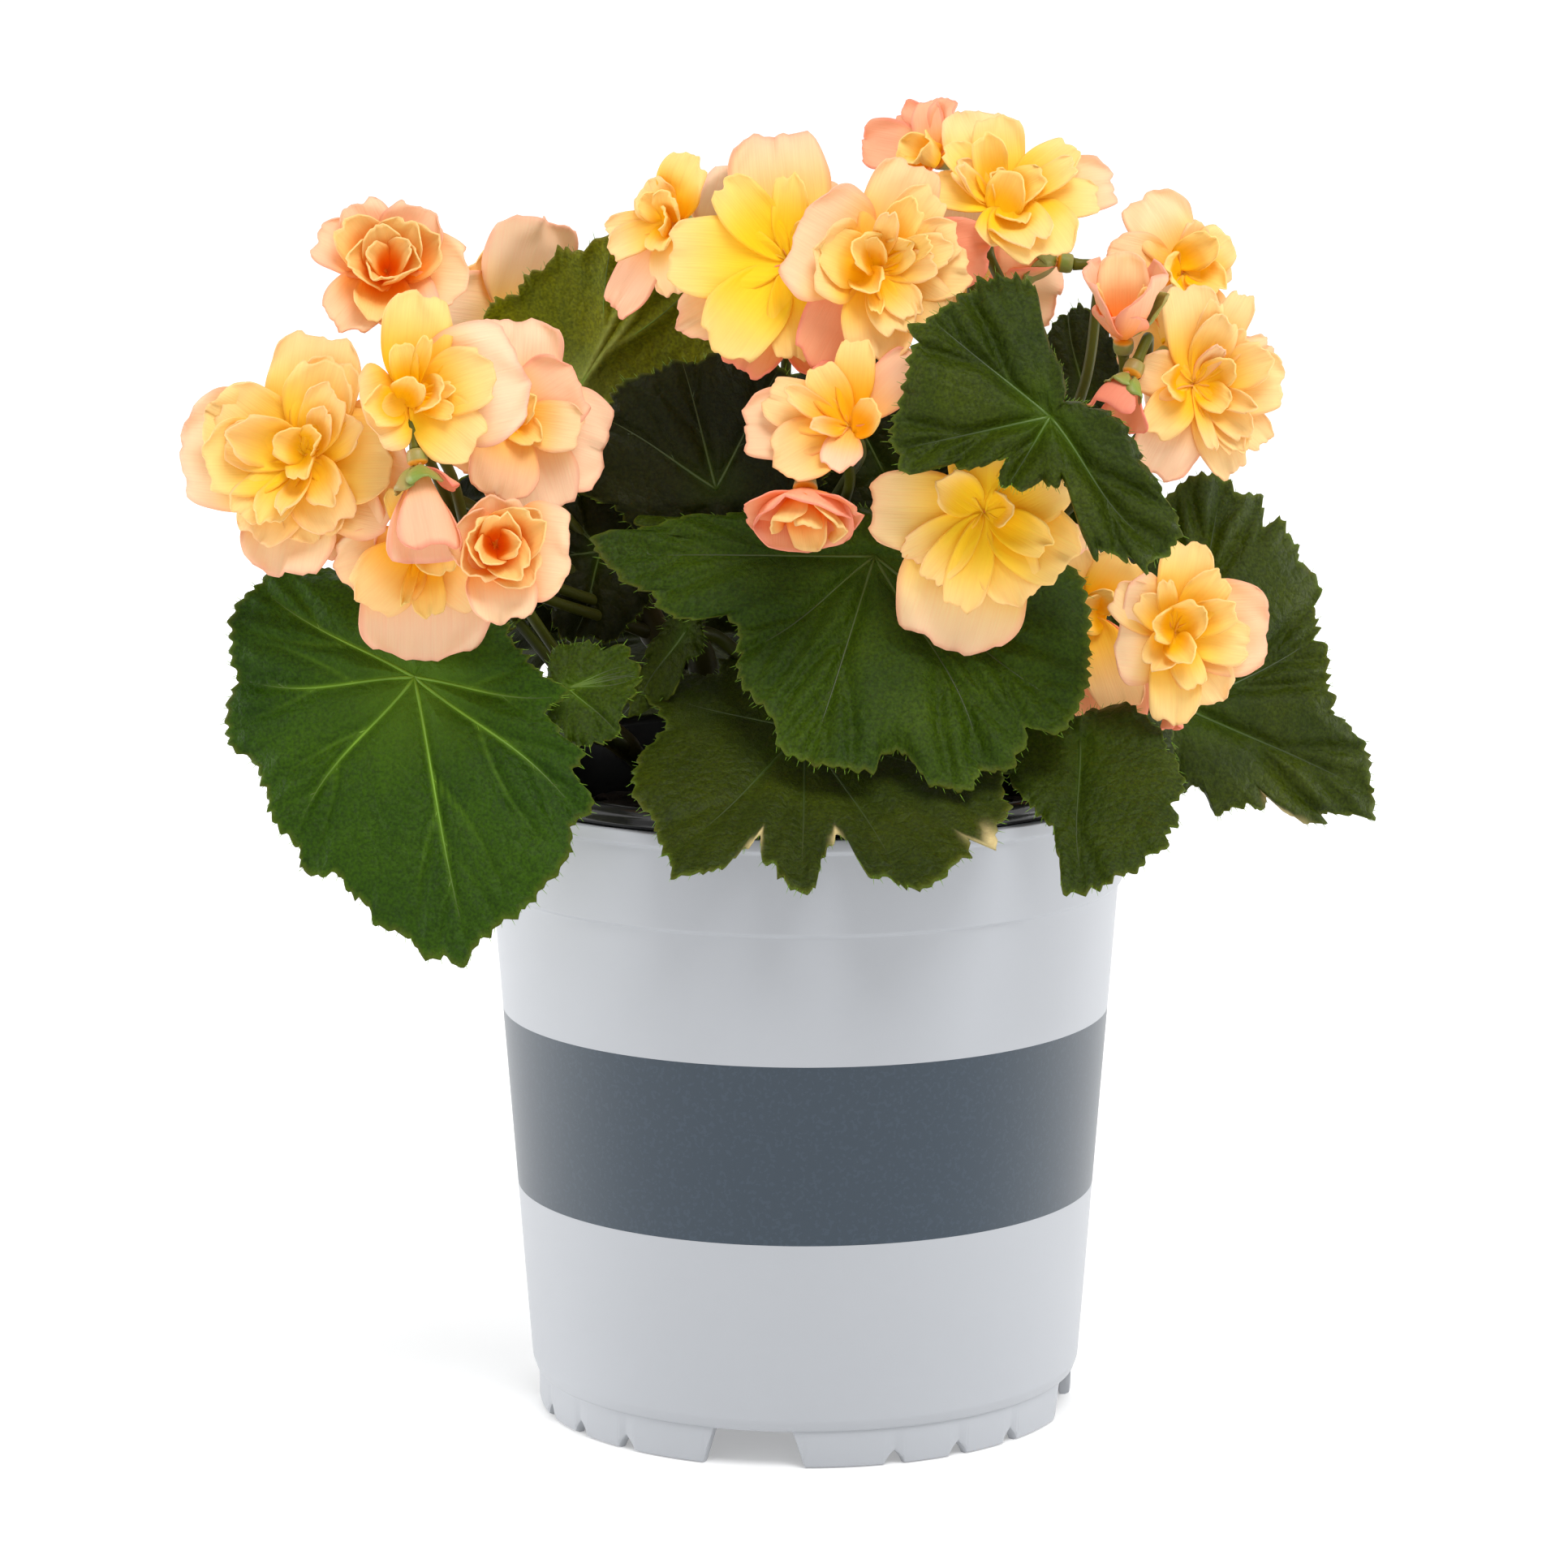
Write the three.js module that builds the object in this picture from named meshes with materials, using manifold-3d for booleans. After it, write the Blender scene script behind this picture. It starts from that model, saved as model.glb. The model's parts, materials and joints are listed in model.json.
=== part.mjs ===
// A double-flowered begonia in its black growing pot, which stands in a grey cover pot.
// Millimetres, +Z up. The origin is the middle of the cover pot's foot on the surface it stands on.
// -Y is the front of the plant and +X is its right, as one who looks at the front sees it.
import * as THREE from "three";
import { mergeVertices } from "three/addons/utils/BufferGeometryUtils.js";
import Module from "manifold-3d";

const wasm = await Module();
wasm.setup();

// ---------------------------------------------------------------- driving dimensions

const GAP = 0.35; // between pieces that touch

// Cover pot: a tapered wall with a collar, a rolled lip and a foot ring cut into four feet.
const COLLAR_HEIGHT = 136.5; // of the step line under the collar
const COLLAR_RADIUS = 79.6; // of the wall just under that line
const COLLAR_STEP = 0.8; // how far the collar stands out
const FOOT_HEIGHT = 9.5;
const FOOT_RADIUS = 69;
const FOOT_THICKNESS = 3;
const WALL_FOOT_RADIUS = 69.9; // of the tapered wall, taken down to the top of the foot
const CORNER = 3; // height of the wall's rounded bottom corner
const COVER_WALL = 1.3;
const COVER_FLOOR = 1.8;
const LIP_RADIUS = 83.6;
const LIP_BOTTOM = 157.9;
const LIP_TOP = 161.1;
const FOOT_COUNT = 4;
const FOOT_GAP_TURN = -11; // degrees from the front to the first gap, towards +X
const FOOT_GAP_HALF = 13; // half the gap's width at the surface, in mm
const FOOT_GAP_SLANT = 3; // how much narrower each end is at the top
const NOTCH_RADIUS = 2;
const NOTCH_TURNS = [-15, 0, 15]; // degrees from the middle of a foot
const COVER_SIDES = 32;

// Growing pot: a thin wall inside the cover pot, and a rim with two round ridges on the lip.
const POT_WALL = 1.1;
const POT_PLAY = 1; // between the two pots' walls
const RIM_RADIUS = 82.3;
const RIM_TOP = 166.5;
const POT_SIDES = 20;
const DRAIN_RADIUS = 5;
const DRAIN_RING = 40; // distance of the drain holes from the middle
const DRAIN_COUNT = 4;

// Soil: level near the wall, a little higher and lumpy round the stems.
const SOIL_TOP = 147;
const SOIL_MOUND = 5;
const SOIL_LUMP = 1.2;
const SOIL_RADIUS = 77;
const SOIL_SIDES = 16;

// Plant.
const LEAF_THICKNESS = 0.7;
const PETAL_THICKNESS = 0.62;
const LARGE_PETAL = 15.5; // wider petals than this have five points on each side of their outline
const CORE_RADIUS = 3.6; // of the small flared body that a bloom's petals grow from
const CORE_FOOT = 2; // its radius where it meets the stalk
const CORE_TOP = 2; // how far it reaches past the bloom's middle
const PETIOLE_RADIUS = 1.8;
const STALK_RADIUS = 1.5;
const STEM_ROOT = 22; // how deep a stem stands in the soil
const STEM_SIDES = 5;
const STALK_SIDES = 4;

const VIEW_RISE = 10; // degrees: how far the front leaves are laid out leaning back

// ---------------------------------------------------------------- solids

// A closed geometry as a manifold-3d solid, whichever way its profile ran.
function toSolid(geometry) {
  const bare = geometry.index ? geometry.toNonIndexed() : geometry.clone();
  bare.deleteAttribute("normal");
  bare.deleteAttribute("uv");
  const merged = mergeVertices(bare, 1e-4);
  const triVerts = new Uint32Array(merged.index.array);
  const vertProperties = new Float32Array(merged.attributes.position.array);
  const made = new wasm.Manifold(new wasm.Mesh({ numProp: 3, vertProperties, triVerts }));
  if (made.volume() > 0) return made;
  for (let i = 0; i < triVerts.length; i += 3)
    [triVerts[i + 1], triVerts[i + 2]] = [triVerts[i + 2], triVerts[i + 1]];
  return new wasm.Manifold(new wasm.Mesh({ numProp: 3, vertProperties, triVerts }));
}

function toGeometry(solid) {
  const mesh = solid.getMesh();
  const geometry = new THREE.BufferGeometry();
  const places = new Float32Array(mesh.numVert * 3);
  for (let i = 0; i < mesh.numVert; i++)
    places.set(mesh.vertProperties.subarray(i * mesh.numProp, i * mesh.numProp + 3), i * 3);
  geometry.setAttribute("position", new THREE.BufferAttribute(places, 3));
  geometry.setIndex(new THREE.BufferAttribute(mesh.triVerts, 1));
  geometry.computeVertexNormals();
  return geometry;
}

const union = (solids) => solids.reduce((all, one) => all.add(one));

// The largest body of a solid, without loose scraps.
function mainBody(solid) {
  const bodies = solid.decompose();
  return bodies.reduce((best, one) => (one.volume() > best.volume() ? one : best));
}

// A turned solid about Z from a closed profile of [radius, height] points.
function turned(profile, sides) {
  const points = profile.map(([r, z]) => new THREE.Vector2(r, z));
  points.push(points[0].clone());
  return toSolid(new THREE.LatheGeometry(points, sides).rotateX(Math.PI / 2));
}

// A thin shell of even thickness round a surface of points and triangles, split alike on both faces.
function shell(points, faces, thickness) {
  const normals = points.map(() => new THREE.Vector3());
  const edge = new THREE.Vector3();
  const other = new THREE.Vector3();
  for (const [a, b, c] of faces) {
    edge.subVectors(points[b], points[a]);
    other.subVectors(points[c], points[a]);
    edge.cross(other).normalize();
    for (const i of [a, b, c]) normals[i].add(edge);
  }
  const half = thickness / 2;
  const count = points.length;
  const places = [];
  for (const side of [1, -1])
    points.forEach((p, i) => {
      const n = normals[i].clone().normalize();
      places.push(p.x + side * half * n.x, p.y + side * half * n.y, p.z + side * half * n.z);
    });
  const index = [];
  const rims = new Map();
  for (const [a, b, c] of faces) {
    index.push(a, b, c, a + count, c + count, b + count);
    for (const [i, j] of [[a, b], [b, c], [c, a]])
      if (!rims.delete(j + " " + i)) rims.set(i + " " + j, [i, j]);
  }
  for (const [i, j] of rims.values()) index.push(j, i, i + count, j, i + count, j + count);
  const geometry = new THREE.BufferGeometry();
  geometry.setAttribute("position", new THREE.BufferAttribute(new Float32Array(places), 3));
  geometry.setIndex(index);
  return toSolid(geometry);
}

// A round rod along a curve.
function rod(curve, radius, steps, sides = STEM_SIDES) {
  const section = new THREE.Shape();
  for (let i = 0; i < sides; i++) {
    const a = (2 * Math.PI * i) / sides;
    if (i) section.lineTo(radius * Math.cos(a), radius * Math.sin(a));
    else section.moveTo(radius, 0);
  }
  return toSolid(new THREE.ExtrudeGeometry(section, { extrudePath: curve, steps, curveSegments: 1 }));
}

// ---------------------------------------------------------------- small helpers

const rad = (degrees) => (degrees * Math.PI) / 180;

// An even draw between 0 and 1 that is the same each time for the same two numbers.
function draw(seed, step) {
  const x = Math.sin(seed * 12.9898 + step * 78.233) * 43758.5453;
  return x - Math.floor(x);
}

// The frame of something that faces an azimuth (0 is the front, 90 is +X) and rises by some degrees:
// its right, its up, and its axis, which points out of its face.
function facing([azimuth, rise]) {
  const a = rad(azimuth);
  const e = rad(rise);
  const axis = new THREE.Vector3(Math.sin(a) * Math.cos(e), -Math.cos(a) * Math.cos(e), Math.sin(e));
  const right = new THREE.Vector3(Math.cos(a), Math.sin(a), 0);
  return { right, up: axis.clone().cross(right), axis };
}

const at = (origin, frame, x, y, z) =>
  new THREE.Vector3(...origin)
    .addScaledVector(frame.right, x)
    .addScaledVector(frame.up, y)
    .addScaledVector(frame.axis, z);

// ---------------------------------------------------------------- pots and soil

// The cover pot's outer radius and the growing pot's, at a height.
const coverRadius = (z) =>
  WALL_FOOT_RADIUS + ((z - FOOT_HEIGHT) * (COLLAR_RADIUS - WALL_FOOT_RADIUS)) / (COLLAR_HEIGHT - FOOT_HEIGHT);
const potRadius = (z) => coverRadius(z) - COVER_WALL - POT_PLAY;

const COVER_FLOOR_TOP = FOOT_HEIGHT + COVER_FLOOR;
const POT_BOTTOM = COVER_FLOOR_TOP + GAP;
const POT_FLOOR_TOP = POT_BOTTOM + POT_WALL;

function drainHoles() {
  return Array.from({ length: DRAIN_COUNT }, (_, i) => {
    const a = (2 * Math.PI * (i + 0.5)) / DRAIN_COUNT;
    const hole = new THREE.CylinderGeometry(DRAIN_RADIUS, DRAIN_RADIUS, 4 * FOOT_HEIGHT, 6);
    return toSolid(hole.rotateX(Math.PI / 2).translate(DRAIN_RING * Math.cos(a), DRAIN_RING * Math.sin(a), 0));
  });
}

// A flat outline extruded outwards through the foot ring, at a turn from the front.
function footCut(outline, turn) {
  const shape = new THREE.Shape(outline.map(([x, z]) => new THREE.Vector2(x, z)));
  const length = 2 * FOOT_THICKNESS + 8;
  const cut = new THREE.ExtrudeGeometry(shape, { depth: length, bevelEnabled: false });
  cut.rotateX(Math.PI / 2).translate(0, -(FOOT_RADIUS - FOOT_THICKNESS - 4), 0);
  return toSolid(cut.rotateZ(rad(turn)));
}

function coverPot() {
  const r = coverRadius;
  const body = turned(
    [
      [0, FOOT_HEIGHT],
      [FOOT_RADIUS - FOOT_THICKNESS, FOOT_HEIGHT],
      [FOOT_RADIUS - FOOT_THICKNESS, 0],
      [FOOT_RADIUS - 0.6, 0],
      [FOOT_RADIUS, FOOT_HEIGHT],
      [r(FOOT_HEIGHT + CORNER) - 0.4, FOOT_HEIGHT + 1],
      [r(FOOT_HEIGHT + CORNER), FOOT_HEIGHT + CORNER],
      [COLLAR_RADIUS, COLLAR_HEIGHT],
      [COLLAR_RADIUS + COLLAR_STEP, COLLAR_HEIGHT + 0.6],
      [r(LIP_BOTTOM) + COLLAR_STEP, LIP_BOTTOM - 0.6],
      [LIP_RADIUS, LIP_BOTTOM],
      [LIP_RADIUS, LIP_TOP - 1],
      [LIP_RADIUS - 0.9, LIP_TOP],
      [r(LIP_TOP) - COVER_WALL, LIP_TOP],
      [r(COVER_FLOOR_TOP) - COVER_WALL, COVER_FLOOR_TOP],
      [0, COVER_FLOOR_TOP],
    ],
    COVER_SIDES,
  );
  const w = FOOT_GAP_HALF;
  const gap = [[-w, -1], [w, -1], [w - FOOT_GAP_SLANT, FOOT_HEIGHT], [FOOT_GAP_SLANT - w, FOOT_HEIGHT]];
  const n = NOTCH_RADIUS;
  const notch = [[-n, -1], [n, -1], [0.7 * n, 1.8 * n], [-0.7 * n, 1.8 * n]];
  const cuts = drainHoles();
  for (let i = 0; i < FOOT_COUNT; i++) {
    const turn = FOOT_GAP_TURN + (360 / FOOT_COUNT) * i;
    cuts.push(footCut(gap, turn));
    for (const step of NOTCH_TURNS) cuts.push(footCut(notch, turn + 180 / FOOT_COUNT + step));
  }
  return body.subtract(union(cuts));
}

function growingPot() {
  const r = potRadius;
  const rimBottom = LIP_TOP + GAP;
  const body = turned(
    [
      [0, POT_BOTTOM],
      [r(POT_BOTTOM), POT_BOTTOM],
      [r(LIP_TOP), rimBottom],
      [RIM_RADIUS, rimBottom],
      [RIM_RADIUS + 0.4, rimBottom + 1.2],
      [RIM_RADIUS - 0.3, rimBottom + 2.5],
      [RIM_RADIUS - 0.1, rimBottom + 3.8],
      [RIM_RADIUS - 0.9, RIM_TOP],
      [r(LIP_TOP) - POT_WALL + 0.4, RIM_TOP],
      [r(LIP_TOP) - POT_WALL, RIM_TOP - 1.2],
      [r(POT_FLOOR_TOP) - POT_WALL, POT_FLOOR_TOP],
      [0, POT_FLOOR_TOP],
    ],
    POT_SIDES,
  );
  return body.subtract(union(drainHoles()));
}

function soilMass() {
  const inside = (z) => (potRadius(z) - POT_WALL) * Math.cos(Math.PI / POT_SIDES) - GAP;
  const bottom = POT_FLOOR_TOP + GAP;
  const rings = [0.3, 0.62, 0.85].map((f) => [f * SOIL_RADIUS, SOIL_TOP + SOIL_MOUND * (1 - f * f)]);
  const profile = [[0, bottom], [inside(bottom), bottom], [inside(SOIL_TOP), SOIL_TOP]];
  const points = [...profile, ...rings.reverse(), [0, SOIL_TOP + SOIL_MOUND]].map((p) => new THREE.Vector2(...p));
  points.push(points[0].clone());
  const mass = new THREE.LatheGeometry(points, SOIL_SIDES).rotateX(Math.PI / 2);
  const places = mass.attributes.position;
  for (let i = 0; i < places.count; i++) {
    const [x, y, z] = [places.getX(i), places.getY(i), places.getZ(i)];
    if (z > SOIL_TOP + 0.1) places.setZ(i, z + SOIL_LUMP * Math.sin(x * 0.31 + 2) * Math.cos(y * 0.27));
  }
  return toSolid(mass);
}

// ---------------------------------------------------------------- leaves

const RING_SHARES = [0.42, 0.78, 1]; // how far out the rings of points lie, each with twice as many as the last
const FRONT_POINTS = 9; // of the first ring on a leaf at the front
const REAR_POINTS = 6;
const TOOTH = 0.05; // depth of the cut edge as a share of the blade's reach

// How far the margin reaches at an angle: a smooth line through the [angle, reach] pairs.
function reachAt(reach, angle) {
  const n = reach.length;
  const turn = (a) => ((a % 360) + 360) % 360;
  for (let i = 0; i < n; i++) {
    const [a0, r0] = reach[i];
    const [a1, r1] = reach[(i + 1) % n];
    const span = turn(a1 - a0);
    const part = turn(angle - a0);
    if (part < span) return r0 + ((r1 - r0) * (1 - Math.cos((Math.PI * part) / span))) / 2;
  }
  return reach[0][1];
}

// The lopsided heart outline of a begonia leaf: tip at an angle, and a narrow slit opposite it.
function plainReach(size, tip) {
  const half = [[0, 1], [26, 0.93], [48, 0.96], [78, 0.84], [100, 0.85], [128, 0.7], [150, 0.62], [168, 0.4]];
  const full = half.map(([a, r]) => [tip + a, size * r * 1.06]);
  const less = half.slice(1).map(([a, r]) => [tip - a, size * r * 0.92]);
  return [...full, [tip + 180, size * 0.12], ...less.reverse()];
}

// A point of the blade, at an angle and a share of the reach there. Slope tilts the blade away from
// its layout plane, bend lets it hang down from its middle, and wave makes its margin rise and fall.
function bladePoint(leaf, angle, share) {
  const radius = reachAt(leaf.reach, angle) * share;
  const x = radius * Math.cos(rad(angle));
  const y = radius * Math.sin(rad(angle));
  const [slopeX, slopeY] = leaf.slope;
  const ripple = leaf.wave * share * share * Math.sin(rad(angle * leaf.waves + leaf.seed * 50));
  const depth = slopeX * x + slopeY * y - (leaf.bend * radius * radius) / 2500 + ripple;
  return at(leaf.hub, facing(leaf.face), x, y, depth);
}

function blade(leaf) {
  const points = [bladePoint(leaf, 0, 0)];
  const faces = [];
  let start = 1;
  RING_SHARES.forEach((share, ring) => {
    const count = leaf.points * 2 ** ring;
    for (let i = 0; i < count; i++) {
      const tooth = ring === 2 ? (i % 2 ? 1 - TOOTH : 1 + TOOTH) : 1;
      points.push(bladePoint(leaf, (360 * i) / count, share * tooth));
    }
    const before = start - count / 2;
    for (let i = 0; i < (ring ? count / 2 : count); i++) {
      if (ring === 0) faces.push([0, start + i, start + ((i + 1) % count)]);
      else {
        const half = count / 2;
        const inner = before + i;
        const next = before + ((i + 1) % half);
        const [left, mid, right] = [start + ((2 * i + count - 1) % count), start + 2 * i, start + 2 * i + 1];
        faces.push([inner, left, mid], [inner, mid, right], [inner, right, next]);
      }
    }
    start += count;
  });
  return mainBody(shell(points, faces, LEAF_THICKNESS));
}

// Reach pairs are [degrees, mm] as the blade is seen from its layout side, 0 to the right and 90 up.
const FRONT = [0, VIEW_RISE];
const leafTable = [
  {
    name: "leaf_left_low", hub: [-95, -60, 197], face: FRONT, slope: [0.12, -0.3], bend: 3, wave: 1.5,
    reach: [[-85, 67], [-74, 62], [-64, 58], [-50, 55], [-35, 50], [-20, 41], [-5, 37], [10, 31], [30, 27],
      [60, 22], [90, 7], [118, 24], [132, 36], [146, 45], [159, 48], [172, 46], [197, 49], [208, 44],
      [228, 49], [242, 53], [259, 57]],
  },
  {
    name: "leaf_left_high", hub: [-58.6, 12, 257], face: FRONT, slope: [0.35, 0.45], bend: -2, wave: 1.5,
    reach: [[5, 34], [15, 38], [26, 40], [49, 43], [68, 43], [80, 39], [90, 36], [104, 34], [117, 31],
      [130, 31], [140, 30], [155, 20], [190, 9], [240, 6], [300, 6], [345, 14]],
  },
  {
    name: "leaf_middle_back", hub: [-22, -28, 239], face: FRONT, slope: [0.1, 0.15], bend: 3, wave: 1.5,
    reach: [[0, 27], [30, 32], [60, 34], [90, 33], [120, 34], [150, 36], [175, 32], [200, 24], [240, 12],
      [270, 8], [310, 12], [340, 18]],
  },
  {
    name: "leaf_left_back", hub: [-57, 2, 215], face: FRONT, slope: [0, -0.05], bend: 3, wave: 1,
    reach: [[0, 15], [45, 16], [90, 18], [120, 20], [150, 20], [180, 20], [210, 20], [240, 19], [270, 17],
      [300, 18], [330, 17]],
  },
  {
    name: "leaf_middle_large", hub: [17, -48, 225], face: FRONT, slope: [0.02, -0.55], bend: 4, wave: 1.5,
    reach: [[-9, 49], [-20, 54], [-31, 57], [-44, 60], [-50, 55], [-62, 59], [-73, 58], [-81, 48], [-90, 51],
      [-104, 52], [-117, 51], [-135, 45], [-152, 38], [-163, 48], [-172, 58], [180, 69], [172, 57],
      [163, 38], [140, 22], [110, 13], [70, 9], [35, 18], [11, 32]].reverse(),
  },
  {
    name: "leaf_front_low", hub: [0, -55, 183], face: FRONT, slope: [0.05, -1.25], bend: 2, wave: 1.2,
    reach: [[-2, 44], [-14, 49], [-25, 51], [-36, 47], [-48, 46], [-57, 42], [-66, 34], [-72, 26], [-80, 33],
      [-90, 37], [-100, 34], [-112, 27], [-120, 37], [-132, 45], [-146, 42], [-159, 43], [-172, 40],
      [177, 34], [170, 38], [158, 34], [140, 20], [110, 11], [80, 7], [50, 12], [20, 30]].reverse(),
  },
  {
    name: "leaf_right_low", hub: [67, -58, 181], face: FRONT, slope: [0.1, -0.9], bend: 2, wave: 1.2,
    reach: [[-6, 24], [-20, 27], [-42, 31], [-60, 33], [-75, 35], [-85, 37], [-97, 38], [-106, 28], [-123, 24],
      [-141, 20], [-160, 20], [175, 17], [150, 12], [120, 8], [90, 6], [60, 9], [30, 16]].reverse(),
  },
  {
    name: "leaf_right_large", hub: [97, 15, 177], face: FRONT, slope: [-0.3, -0.1], bend: 3, wave: 2,
    reach: [[109, 40], [97, 54], [86, 61], [75, 59], [66, 53], [61, 56], [50, 49], [42, 49], [34, 44], [28, 40],
      [19, 38], [8, 37], [-3, 42], [-14, 50], [-24, 56], [-31, 58], [-37, 46], [-45, 43], [-60, 31],
      [-75, 26], [-97, 18], [-125, 14], [-160, 9], [165, 16], [140, 26], [124, 32]].reverse(),
  },
  {
    name: "leaf_top_front", hub: [58, -88, 264], face: FRONT, slope: [0, -0.2], bend: 5, wave: 1.5,
    reach: [[-5, 17], [-20, 22], [-31, 31], [-40, 38], [-50, 41], [-60, 41], [-70, 34], [-82, 30], [-92, 23],
      [-105, 17], [-122, 18], [-137, 17], [-148, 24], [-157, 35], [-170, 37], [165, 35], [151, 38],
      [139, 35], [127, 35], [110, 35], [100, 31], [90, 19], [70, 7], [50, 5], [15, 11]].reverse(),
  },
  {
    name: "leaf_young", hub: [-58, -58, 194], face: FRONT, slope: [0.2, -0.5], bend: 3, wave: 0.6,
    reach: [[0, 18], [27, 18], [55, 13], [101, 11], [150, 6], [200, 6], [239, 9], [270, 12], [296, 16],
      [320, 17], [344, 15]],
  },
  // The sides and the far side, laid out as seen from there.
  {
    name: "leaf_side_right", hub: [75, 6, 212], face: [90, 10], slope: [0, 0.1], bend: 3, wave: 2,
    reach: [[0, 30], [30, 35], [60, 34], [90, 36], [120, 30], [150, 22], [180, 15], [225, 10], [270, 8], [315, 16]],
  },
  { name: "leaf_side_left", hub: [-82, 14, 220], face: [266, 10], slope: [0, -0.6], bend: 4, wave: 2, size: 28, tip: -84 },
  { name: "leaf_rear_1", hub: [86, 62, 198], face: [125, 10], slope: [0, -0.5], bend: 4, wave: 2, size: 42, tip: -95 },
  { name: "leaf_rear_2", hub: [36, 68, 188], face: [158, 10], slope: [0, -0.9], bend: 3, wave: 2, size: 38, tip: -88 },
  { name: "leaf_rear_3", hub: [-28, 68, 188], face: [190, 10], slope: [0, -0.8], bend: 4, wave: 2, size: 42, tip: -92 },
  { name: "leaf_rear_4", hub: [-84, 44, 186], face: [238, 10], slope: [0, -0.7], bend: 4, wave: 2, size: 44, tip: -84 },
  { name: "leaf_rear_5", hub: [62, 44, 246], face: [140, 10], slope: [0, -0.6], bend: 4, wave: 2, size: 35, tip: -80 },
  { name: "leaf_rear_6", hub: [-18, 44, 242], face: [180, 10], slope: [0, -0.6], bend: 4, wave: 2, size: 40, tip: -104 },
  { name: "leaf_rear_7", hub: [-74, 44, 230], face: [226, 10], slope: [0, -0.6], bend: 4, wave: 2, size: 34, tip: -92 },
];

const leaves = leafTable.map((leaf, i) => ({
  seed: i + 1,
  waves: 5,
  points: leaf.size ? REAR_POINTS : FRONT_POINTS,
  ...leaf,
  reach: leaf.reach ?? plainReach(leaf.size, leaf.tip),
}));

// ---------------------------------------------------------------- blooms

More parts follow.
